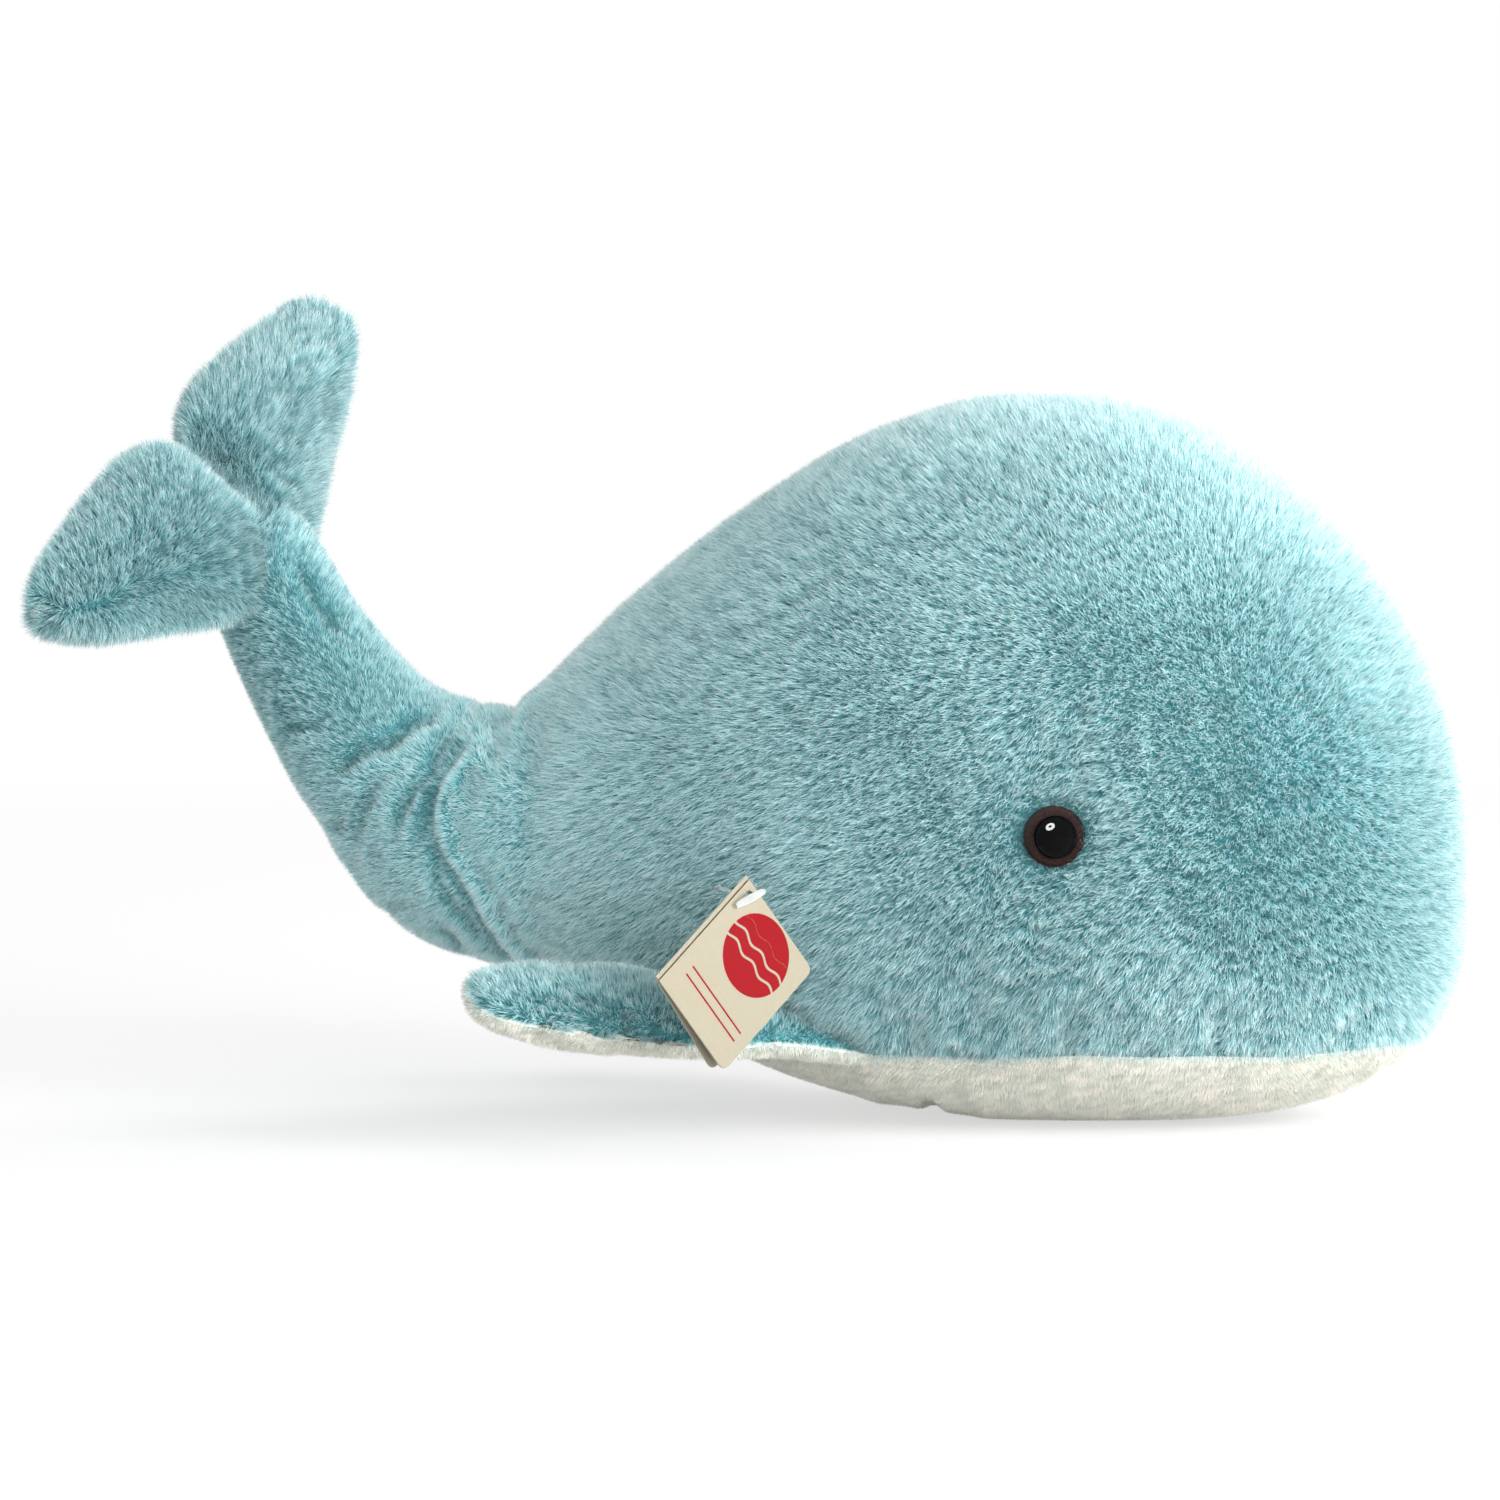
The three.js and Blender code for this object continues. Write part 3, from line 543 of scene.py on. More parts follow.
@dataclass(frozen=True)
class PileFinish:
    """Plush pile: painted shade makes it dark near its backing and painted light makes it paler to its tips, and its
    tufts are a little lighter and darker by painted light and shade.
    """

    name: str
    slot: str
    root: Colour
    middle: Colour
    tip: Colour
    gap: Colour  # painted shade that the least lit tufts are toned by
    sheen: float
    even: Colour = (0.93, 0.95, 0.96)  # what the middling tufts are toned by
    crest: Colour = (1.10, 1.04, 1.04)  # and the painted light that the most lit ones are toned by
    through: float = 0.36  # share of light that a fibre lets through

    def strands(self) -> Material:
        """The material of the strands, which read how far along they are, for the painted shade at the foot and the
        painted light at the tip, and how their tuft is toned by painted light and shade.

        Returns:
            The material.
        """
        recipe = Recipe(self.name, Roughness=0.85, Sheen_Weight=self.sheen, Sheen_Roughness=0.45,
                        Specular_IOR_Level=0.03)
        place = recipe.node("ShaderNodeAttribute", attribute_name="pile").outputs["Vector"]
        along, tuft = recipe.node("ShaderNodeSeparateXYZ", place).outputs[:2]
        colour = recipe.ramp(along, [(0.0, self.root), (0.42, self.middle), (0.9, self.tip)])
        shade = recipe.ramp(tuft, [(0.08, self.gap), (0.52, self.even), (1.0, self.crest)])
        toned = recipe.mix(1.0, colour, shade, "MULTIPLY")
        recipe.coloured(toned)
        through = recipe.node("ShaderNodeBsdfTranslucent", toned).outputs[0]
        return recipe.shown(recipe.surface(self.through, recipe.shader.outputs[0], through))

    def backing(self) -> Material:
        """The material of the skin under the pile, in the colour of the pile's foot: painted shade for the depth of
        the pile, mottled darker by noise.
        """
        recipe = Recipe(f"{self.name}_backing", Roughness=0.95, Specular_IOR_Level=0.1)
        deep = tuple(0.8 * c for c in self.root)
        return recipe.coloured(recipe.ramp(recipe.noise(900.0), [(0.3, deep), (0.7, self.root)]))


@dataclass(frozen=True)
class PlainFinish:
    """A smooth piece of one colour with a faint mottle."""

    name: str
    slot: str
    colour: Colour
    roughness: float
    mottle: float = 0.06
    grain: float = 300.0
    transmission: float = 0.0
    specular: float = 0.5

    def material(self) -> Material:
        """The colour, mottled by noise on Object coordinates.

        Returns:
            The material.
        """
        recipe = Recipe(self.name, Roughness=self.roughness, Transmission_Weight=self.transmission,
                        Specular_IOR_Level=self.specular)
        dark = tuple(c * (1 - self.mottle) for c in self.colour)
        return recipe.coloured(recipe.ramp(recipe.noise(self.grain, 4.0), [(0.35, dark), (0.65, self.colour)]))


# Roots darkened by painted shade, tips paled by painted light, and gap colours for the painted shade of the least lit
# tufts
AQUA = PileFinish("aqua_plush", "aqua_plush", (0.10, 0.41, 0.45), (0.48, 0.86, 0.882), (0.95, 0.99, 0.98),
                  gap=(0.24, 0.43, 0.455), sheen=0.35)
WHITE = PileFinish("white_plush", "white_plush", (0.76, 0.765, 0.71), (0.85, 0.855, 0.79), (0.92, 0.92, 0.86),
                   gap=(0.80, 0.80, 0.78), sheen=0.15)
FUZZ = PileFinish("brown_fuzz", "brown_suede", (0.014, 0.007, 0.006), (0.03, 0.017, 0.015), (0.065, 0.045, 0.042),
                  gap=(0.5, 0.5, 0.5), sheen=0.0)
BLACK = PlainFinish("gloss_black", "gloss_black", (0.002, 0.002, 0.002), 0.04, 0.2, 80.0, specular=0.06)
SUEDE = PlainFinish("brown_suede", "brown_suede", (0.03, 0.016, 0.014), 0.95, 0.6, 1500.0, specular=0.04)
PLASTIC = PlainFinish("white_plastic", "white_plastic", (0.80, 0.80, 0.78), 0.45)
CLEAR = PlainFinish("clear_plastic", "clear_plastic", (0.66, 0.68, 0.68), 0.25, 0.02, 60.0, 0.6, 0.3)


@dataclass(frozen=True)
class CardFinish:
    """Cream card printed with a plain red disc and wave lines, which are drawn on the piece's own map.

    Sizes are in widths of the card.
    """

    name: str = "cream_card"
    slot: str = "cream_card"
    paper: Colour = (0.315, 0.285, 0.215)
    ink: Colour = (0.22, 0.004, 0.007)
    disc: tuple[float, float, float] = (0.52, 0.36, 0.34)  # middle across and down, and radius
    turns: float = 26.0  # of the wave lines, in radians for each width
    swing: float = 0.018
    line_space: float = 0.06  # half the way from one wave line to the next
    line_half: float = 0.011
    line_reach: float = 0.15  # from the disc's middle
    rule_space: float = 0.045
    rule_half: float = 0.008
    rules: tuple[float, float, float] = (0.86, 1.06, 0.36)  # highest, lowest, and half their length

    def material(self, printed: bool) -> Material:
        """The card, which reads the map "card" where this leaf carries the print.

        Args:
            printed: Whether this leaf carries it.

        Returns:
            The material.
        """
        recipe = Recipe(self.name + ("_printed" if printed else ""), Roughness=0.6, Specular_IOR_Level=0.1)
        do = recipe.maths
        dark = tuple(0.95 * c for c in self.paper)
        paper = recipe.ramp(recipe.noise(700.0, 5.0), [(0.3, dark), (0.7, self.paper)])
        if not printed:
            return recipe.coloured(paper)
        place = recipe.node("ShaderNodeUVMap", uv_map="card").outputs[0]
        across, down = recipe.node("ShaderNodeSeparateXYZ", place).outputs[:2]
        dx, dy = do("SUBTRACT", across, self.disc[0]), do("SUBTRACT", down, self.disc[1])
        inside = do("LESS_THAN", do("ADD", do("MULTIPLY", dx, dx), do("MULTIPLY", dy, dy)), self.disc[2] ** 2)
        height = do("ADD", dy, do("MULTIPLY", do("SINE", do("MULTIPLY", across, self.turns)), self.swing))
        line = do("LESS_THAN", do("PINGPONG", do("ADD", height, 1.0), self.line_space), self.line_half)
        cut = do("MULTIPLY", line, do("LESS_THAN", do("ABSOLUTE", height), self.line_reach))
        ink = do("MULTIPLY", inside, do("SUBTRACT", 1.0, cut))
        first, last, reach = self.rules
        rule = do("LESS_THAN", do("PINGPONG", down, self.rule_space), self.rule_half)
        for bound in (do("GREATER_THAN", down, first), do("LESS_THAN", do("ABSOLUTE", dx), reach),
                      do("LESS_THAN", down, last)):
            rule = do("MULTIPLY", rule, bound)
        return recipe.coloured(recipe.mix(do("MAXIMUM", ink, rule), paper, self.ink))


CARD = CardFinish()


# Pile


@dataclass(frozen=True)
class Pile:
    """How the pile of one fabric stands."""

    length: float
    radius: float  # half width of a strand at its foot
    density: float  # strands for each square millimetre
    lean: float  # how far it is brushed over, as a share of its length
    swirl: float  # and how far that wanders
    tuft: float  # wavelength of the tufts
    gather: float  # how far the tips are drawn to the tufts' middles
    limit: int = 190000  # strands in one piece
    sways: tuple = ((80.0, 1.0), (24.0, 0.35))  # wavelengths that the swirl wanders over, and their shares
    stray: float = 0.19  # how far a strand strays by itself
    uneven: tuple = (0.8, 1.08)  # shares of the length that strands have
    drawn: float = 0.55  # how far the tufts are drawn out along the way that the pile is brushed
    tufts: tuple = ((1.0, 1.0, 0.26), (2.3, 0.6, 0.12))  # fine and coarse: share of the wavelength, pull and tone, the tone being painted light and shade
    tone: float = 0.52  # of a middling strand, from 0 to 1
    mottle: float = 0.11  # how far that differs from one strand to the next
    crease: float = 2.4  # depth at which a crease has its full effect
    sunk: float = 0.3  # how much shorter the pile is there, and how much painted shade darkens it, while painted light lightens it on a ridge
    foot: float = 0.4  # how far below the skin a strand starts

    def grow(self, roots: Array, normals: Array, brushed: Array, seed: int, share: Array, hollow: Array,
             bold: Array | float = 1.0, light: Array | float = 0.0) -> dict[str, Array]:
        """Turns points on a skin into strands.

        The tip is root + length * unit(normal + lean * brushed + swirl * wander) + gather * slope of the tufts. The
        field of the tufts is read at p - drawn * g (g . p), where g is the way that the pile is brushed.

        Args:
            roots: Points on the skin.
            normals: What points outwards there.
            brushed: The direction that the pile is brushed in.
            seed: Start of the random draws.
            share: Share of the full length at each point.
            hollow: How deep in a crease each point is, which shortens it and darkens it with painted shade, while a
                ridge, where it is below nought, is lightened with painted light.
            bold: How strongly the tufts stand out at each point, in their pull and in their painted light and shade.
            light: Painted light at each point, or painted shade where it is below nought.

        Returns:
            Arrays for the roots, tips, normals and tones.
        """
        rng = np.random.default_rng(seed)
        wander = sum(share * Ripples(wave, seed + k).slope(roots) for k, (wave, share) in enumerate(self.sways, 1))
        stray = rng.normal(size=roots.shape) * self.stray
        direction = unit(normals + self.lean * level(brushed, normals) + self.swirl * level(wander, normals) + stray)
        sunk = np.clip(hollow / self.crease, -1, 1)
        length = self.length * rng.uniform(*self.uneven, len(roots)) * share * (1 - self.sunk * np.maximum(sunk, 0))
        grain = unit(brushed.mean(axis=0))
        drawn = roots - self.drawn * grain * (roots @ grain)[:, None]
        fields = [Ripples(wave * self.tuft, seed + k) for k, (wave, _, _) in enumerate(self.tufts, 3)]
        pull = level(sum(row[1] * tuft.slope(drawn) for row, tuft in zip(self.tufts, fields)), normals)
        tips = roots + direction * length[:, None] + self.gather * (bold * length / self.length)[:, None] * pull
        # The tone: painted light and shade by place, and on the tufts
        crest = self.tone + light + sum(row[2] * tuft.value(drawn) for row, tuft in zip(self.tufts, fields)) * bold
        # Painted shade in creases, painted light on ridges
        tone = np.clip(crest + rng.normal(size=len(roots)) * self.mottle - self.sunk * sunk, 0, 1)
        return {"root": roots, "tip": tips, "normal": normals, "tone": tone}

    def mesh(self, name: str, strands: dict[str, Array], seed: int) -> Object:
        """One mesh of strands, each a blade: its foot is root -+ radius * side, where side is square to the strand.

        A blade faces outwards. Its map OFBake holds how far along and how toned each of its corners is.

        Args:
            name: Name of the piece.
            strands: What grow gives.
            seed: Start of the random draws.

        Returns:
            The object.
        """
        root, tip, normal, tone = (strands[key] for key in ("root", "tip", "normal", "tone"))
        rng = np.random.default_rng(seed)
        axis = unit(tip - root)
        side = unit(np.cross(axis, rng.normal(size=root.shape)))
        side *= np.where((np.cross(side, axis) * normal).sum(-1, keepdims=True) < 0, -1, 1)
        foot = root - self.foot * normal
        points = np.stack([foot - self.radius * side, foot + self.radius * side, tip], axis=1)
        made = to_object(name, points.reshape(-1, 3), np.arange(points.size // 3).reshape(-1, 3))
        pile = np.zeros(points.shape)
        pile[:, 2, 0] = 1
        pile[:, :, 1] = tone[:, None]
        store(made.data, "pile", pile.reshape(-1, 3))
        places = np.stack([pile[..., 0], pile[..., 1] + np.array([-1, 1, 0]) * 0.01], axis=-1) * 0.94 + 0.03
        made.data.uv_layers.new(name="OFBake").data.foreach_set("uv", places.astype(np.float32).ravel())
        return made


LONG = Pile(length=5.4, radius=0.2, density=5.2, lean=0.5, swirl=0.14, tuft=1.55, gather=0.42)
FLIPPER_PILE = Pile(length=4.6, radius=0.2, density=5.2, lean=0.5, swirl=0.14, tuft=1.6, gather=0.38)
SHORT = Pile(length=2.2, radius=0.24, density=3.4, lean=0.3, swirl=0.4, tuft=3.2, gather=0.2)
FINE = Pile(length=1.3, radius=0.05, density=4.0, lean=0.7, swirl=0.6, tuft=2.0, gather=0.2)


def choose(strands: dict[str, Array], keep: Array) -> dict[str, Array]:
    """The strands that a mask keeps."""
    return {key: value[keep] for key, value in strands.items()}


def dress(made: Object, material: Material) -> Object:
    """Gives a piece its material.

    Args:
        made: The piece.
        material: What it is made of.

    Returns:
        The same piece.
    """
    made.data.materials.clear()
    made.data.materials.append(material)
    return made


def backed(name: str, grid: Grid, finish: PileFinish) -> Object:
    """A closed skin with the backing of a pile."""
    return dress(closed(name, grid), finish.backing())


# Body and tail


@dataclass
class Fold:
    """A crease pressed into a skin along a line seen from the side, or a ridge where its depth is negative."""

    line: tuple[tuple[float, float], ...]
    depth: float
    width: float
    side: int = 0  # -1 on the right only, 1 on the left only, 0 on both
    fade: float = 9.0  # how far from its two ends it starts to ease out

    def press(self, grid: Grid) -> Array:
        """Depth at each point: depth * bell(distance to the line, width), easing out towards the line's ends.

        Args:
            grid: The skin.

        Returns:
            How far each of its points is drawn in, (rows, columns).
        """
        p = grid.points[..., [0, 2]]
        off, place, total = np.full(p.shape[:2], np.inf), np.zeros(p.shape[:2]), 0.0
        for a, b in zip(np.array(self.line[:-1]), np.array(self.line[1:])):
            long = float(np.linalg.norm(b - a))
            along = np.clip(((p - a) @ (b - a)) / long**2, 0, 1)
            away = np.linalg.norm(p - (a + along[..., None] * (b - a)), axis=-1)
            place = np.where(away < off, total + along * long, place)
            off = np.minimum(off, away)
            total += long
        end = min(self.fade, total / 3)
        there = bell(off, self.width) * self.depth
        there = there * ease(-0.3 * end, end, place) * ease(-0.3 * end, end, total - place)
        if self.side:
            there = there * ease(-4, 12, self.side * grid.points[..., 1])
        return there

    def beside(self, across: float, up: float, depth: float, width: float) -> "Fold":
        """A ridge or a crease along the same line, moved over."""
        return Fold(tuple((x + across, z + up) for x, z in self.line), depth, width, self.side)


# Where the tail is sewn to the round end of the body, and the creases of the bend, each as (x, z)
ROOT = Fold(((-187, 128.5), (-194.5, 121.3), (-199, 114.7), (-202.1, 106.5), (-201.4, 99.6),
             (-199.3, 90.7), (-193.4, 82.8), (-189.1, 74.9), (-186, 67), (-178.8, 54.2), (-172, 40)), 1.9, 2.6)
BEND = Fold(((-201.7, 133), (-208.7, 131.9), (-215, 125.6), (-225.6, 122.1), (-230.1, 118.3), (-236.5, 112.6)),
            2.4, 2.6)
CREASES = (
    ROOT, ROOT.beside(6, 0, -1.0, 4.5), BEND, BEND.beside(1.5, -6, -1.2, 4),
    Fold(((-199, 114.7), (-203.3, 102.8), (-204.9, 96.2), (-204.7, 88.3)), 1.7, 1.7),
    Fold(((-194.5, 130.5), (-198.7, 125.4), (-202.8, 116.4), (-207.4, 110.7), (-212.3, 102), (-212.9, 93.8)),
         2.2, 1.9),
    Fold(((-199.3, 90.7), (-198.7, 79.6), (-195.5, 74.2), (-190.3, 66.9), (-184.9, 56.3)), 1.7, 1.7),
    Fold(((-219.9, 112.4), (-224.2, 104.2), (-227.9, 96.2), (-229.5, 88.2)), 1.4, 2.2),
    Fold(((-200.1, 63.7), (-196.3, 58), (-192.3, 52.7)), 1.5, 1.8),
    Fold(((-258, 124.5), (-255.7, 126.3), (-246.9, 128.9), (-238.9, 131.1)), 1.3, 1.7),
    Fold(((-258, 132), (-255.8, 133.6), (-251.6, 136.2)), 1.0, 1.6),
    Fold(((-241, 93), (-233, 98)), 1.5, 1.8), Fold(((-221, 66), (-211, 72)), 1.4, 1.8),
    Fold(((-249, 184), (-246.7, 180.1), (-241.8, 170.6), (-233, 158.4)), 2.2, 2.4),
    Fold(((-37, 10), (-37, -12)), 2.4, 2.6, -1), Fold(((-57, 1), (-20, -3)), 1.2, 9.0),
)


@dataclass
class BodyAndTail(Sized):
    """The body, an egg-shaped head that tapers back, and the tail that bends up from it, as one swept skin."""

    head_length: float = 137.0
    height: float = 238.0
    half_width: float = 98.0
    snout_height: float = 78.0
    wide_height: float = 105.0
    seam_height: float = 27.0
    rest_depth: float = 0.5
    upper_power: float = 2.05
    lower_power: float = 2.3
    chin_power: float = 3.0
    root_x: float = -167.0
    root_z: float = 93.0
    pile_inset: float = 4.1
    tail_inset: float = 2.6
    belly_inset: float = 1.4
    sides: int = 250
    rings: int = 165
    crowding: float = 1.7  # power by which the rings crowd to the snout
    crowded: float = -158.0  # where the close and even rings begin
    pitch: float = 1.1  # of those
    joining: tuple = (-150, -140, -128, -115)  # where the rows of rings follow the body; behind the last, they hold
    bend_from: float = -150.0  # where the rings start to turn up with the tail
    bend_relief: tuple = (0.35, -200.0, 18.0)  # how much less they lean above, where, and how far about it
    tail_power: float = 2.05  # of the superellipse, past the bend
    seam_waves: tuple = ((0.6, 17.0), (0.4, 7.3))  # height and length / 2 pi of the seam's unevenness
    shorter: float = 0.36  # how much shorter the pile is on the tail
    shorter_at: tuple = (-148, -176)  # and from where to where it gets so
    lifted: tuple = (4.5, -62.0, 26.0, 30.0)  # hollow in the belly: height, where, how far about it, and top
    eye_seat: tuple = (6.8, -96.7, 101.0)
    socket: tuple = (2.2, 13.0)  # how far the skin is drawn in at an eye, and how far about it
    back_shares: tuple = ((-0.1, 1), (0, 1), (0.14, 0.996), (0.26, 0.974), (0.38, 0.94), (0.5, 0.891),
        (0.66, 0.817), (0.81, 0.732), (0.9, 0.675), (1, 0.588), (1.1, 0.5))
    belly_shares: tuple = ((-0.1, 0), (0, 0), (0.3, 0), (0.34, 0.012), (0.38, 0.038), (0.42, 0.066),
        (0.48, 0.118), (0.54, 0.17), (0.66, 0.262), (0.84, 0.39), (1, 0.49), (1.1, 0.56))
    side_shares: tuple = ((-0.1, 1), (0, 1), (0.18, 0.998), (0.3, 0.985), (0.42, 0.954), (0.54, 0.903),
        (0.66, 0.832), (0.78, 0.745), (0.9, 0.653), (1, 0.565), (1.1, 0.47))
    wide_shares: tuple = ((-0.1, 1), (0, 1), (0.5, 0.955), (1, 0.886), (1.1, 0.87))
    # Behind the body: where each ring's middle is, and how far it reaches up, down and sideways
    tail_rows: tuple = ((-163, 93.2, 54.6, 47.5, 57), (-168.5, 93, 50, 46.5, 55.8),
        (-174, 93, 46.8, 45.5, 54.5), (-180, 93.4, 43.9, 44.5, 53), (-187, 94.6, 41.2, 43.3, 51),
        (-196, 96.8, 39.4, 41.5, 47.5), (-205.4, 101.5, 36.2, 38, 42.5), (-213, 107.6, 34.6, 35, 36.5),
        (-220.8, 114.3, 31.6, 31.6, 31.4), (-234.2, 129.6, 27.8, 27.8, 27), (-250.9, 155, 23.7, 23.7, 23),
        (-263, 178, 21.6, 21.6, 21), (-268.5, 187.2, 21.6, 21.6, 21))

    def __post_init__(self) -> None:
        """Joins the body's rows and the tail's into one table, from the back to the snout."""
        super().__post_init__()
        top, bottom, half, wide = self.section(self.joining)
        body = np.stack([self.joining, wide, top - wide, wide - bottom, half], axis=1)
        self.rows = np.concatenate([self.tail_rows, body])
        self.rows = self.rows[np.argsort(self.rows[:, 0])]

    def section(self, x: Array) -> tuple[Array, Array, Array, Array]:
        """Top, bottom, half width and widest height of the body at x.

        Ahead of the origin they follow round = sqrt(1 - (x / reach)^2), and the chin (1 - (x / reach)^p)^(1 / p),
        where p is chin_power; behind it they follow the tables of shares.

        Args:
            x: Stations.

        Returns:
            The four of them, each an array like x.
        """
        x = np.asarray(x, float)
        ahead = np.clip(x / self.head_length, 0, 1)
        rounded = np.sqrt(1 - ahead**2)
        chin = (1 - ahead**self.chin_power) ** (1 / self.chin_power)
        share = np.clip(x / self.root_x, 0, 1.1)
        top = np.where(x > 0, self.snout_height + (self.height - self.snout_height) * rounded,
                       self.height * smooth(self.back_shares, share))
        bottom = np.where(x > 0, self.snout_height - (self.snout_height + self.rest_depth) * chin,
                          self.root_z * smooth(self.belly_shares, share) - self.rest_depth)
        half = self.half_width * np.where(x > 0, rounded, smooth(self.side_shares, share))
        wide = np.where(x > 0, self.snout_height + (self.wide_height - self.snout_height) * rounded,
                        self.wide_height * smooth(self.wide_shares, share))
        return top, bottom, half, wide

    def ring(self, x: Array) -> dict[str, Array]:
        """Middle, upward direction and reaches of the ring at each station x.

        Args:
            x: Stations.

        Returns:
            The middle, the directions up and over, and the reaches top, low and half, by name.
        """
        top, bottom, half, wide = self.section(x)
        last = self.joining[-1]
        rear = x < last
        values = [smooth(self.rows, x, k) for k in (1, 2, 3, 4)]
        middle = np.where(rear, values[0], wide)
        step = 8.0
        slope = (smooth(self.rows, np.minimum(x + step, last), 1) - smooth(self.rows, x - step, 1))
        slope = slope / np.maximum(np.minimum(x + step, last) - (x - step), step / 2)
        angle = np.where(rear, np.arctan(slope), 0.0) * ease(0, 50, self.bend_from - x)
        less, at, reach = self.bend_relief
        over = angle * (1 - less * bell(x - at, reach))  # so that they don't cross inside the bend
        return {
            "middle": np.stack([x, np.zeros_like(x), middle], axis=-1),
            "up": np.stack([-np.sin(angle), np.zeros_like(x), np.cos(angle)], axis=-1),
            "over": np.stack([-np.sin(over), np.zeros_like(x), np.cos(over)], axis=-1),
            "top": np.where(rear, values[1], top - wide),
            "low": np.where(rear, values[2], wide - bottom),
            "half": np.where(rear, values[3], half),
        }

    def at(self, x: Array, turn: Array) -> Array:
        """The swept surface: middle + up * reach * bow(sin turn) + sideways * half * bow(cos turn).

        Args:
            x: Stations, (rows,).
            turn: Turns round each ring, (rows, columns), a quarter turn being straight up.

        Returns:
            Points (rows, columns, 3).
        """
        ring = self.ring(x)
        above = np.sin(turn) > 0
        power = np.where(above, self.upper_power, self.lower_power)
        power = power + (self.tail_power - power) * ease(0, 40, self.bend_from - x)[:, None]
        reach = np.where(above, ring["top"][:, None], ring["low"][:, None]) * bow(np.sin(turn), power)
        sideways = ring["half"][:, None] * bow(np.cos(turn), power)
        up = np.where(above[..., None], ring["over"][:, None], ring["up"][:, None])
        return ring["middle"][:, None] + up * reach[..., None] + sideways[..., None] * np.array([0, 1, 0])

    def seam_turn(self, x: Array) -> Array:
        """How far below level the seam with the belly is, as a turn; a quarter turn where there is no belly.

        Args:
            x: Stations.

        Returns:
            The turn at each, arcsin(drop ** (power / 2)).
        """
        ring = self.ring(x)
        line = sum((high * np.sin(x / long) for high, long in self.seam_waves), self.seam_height)
        drop = np.clip((ring["middle"][:, 2] - line) / ring["low"], 0, 1)
        return np.arcsin(np.clip(drop ** (self.lower_power / 2), 0, 1))

    def grid(self, x: Array, belly: bool) -> Grid:
        """The skin's outer surface between the seams, with its creases.

        Args:
            x: Stations, from the snout back.
            belly: Whether it is the belly, or else all the rest.

        Returns:
            The grid, where the tips of the pile are.
        """
        seam = self.seam_turn(x)[:, None]
        if belly:
            turn = -math.pi + seam + (math.pi - 2 * seam) * np.linspace(0, 1, 90)
        else:
            turn = -seam + (math.pi + 2 * seam) * np.linspace(0, 1, self.sides)
        grid = Grid.of(self.at(x, turn), self.ring(x)["middle"])
        depth = sum(fold.press(grid) for fold in CREASES)
        mirrored = grid.points * np.array([1, -1, 1])
        beside = np.where(grid.points[..., 1:2] > 0, mirrored, grid.points) - self.eye_seat
        drawn, about = self.socket
        depth = depth + drawn * bell(np.linalg.norm(beside, axis=-1), about)
        high, at, reach, top = self.lifted
        lift = high * bell(grid.points[..., 0] - at, reach) * ease(top, 0, grid.points[..., 2])
        made = Grid.of(grid.inset(depth + lift).points, self.ring(x)["middle"])
        # The hollow also gives the pile painted shade in creases and eye sockets, and painted light on ridges
        made.hollow = depth
        return made

    def pile_share(self, p: Array) -> Array:
        """Share of the full length of the pile at points: it is shorter on the tail."""
        return 1 - self.shorter * ease(*self.shorter_at, p[:, 0])

    def pile_depth(self, x: Array) -> Array:
        """How far inside the tips the skin lies in each ring: less on the tail, whose pile is shorter."""
        return (self.pile_inset + (self.tail_inset - self.pile_inset) * ease(*self.shorter_at, x))[:, None]

    def stations(self, back: float) -> Array:
        """Stations that crowd together near the snout's tip and again among the creases at the back."""
        turn = np.linspace(0.012, 1, self.rings)
        front = self.crowded + (self.head_length - self.crowded) * (1 - turn**self.crowding)
        return np.concatenate([front, np.arange(self.crowded - self.pitch, back, -self.pitch), [back]])


# Flukes


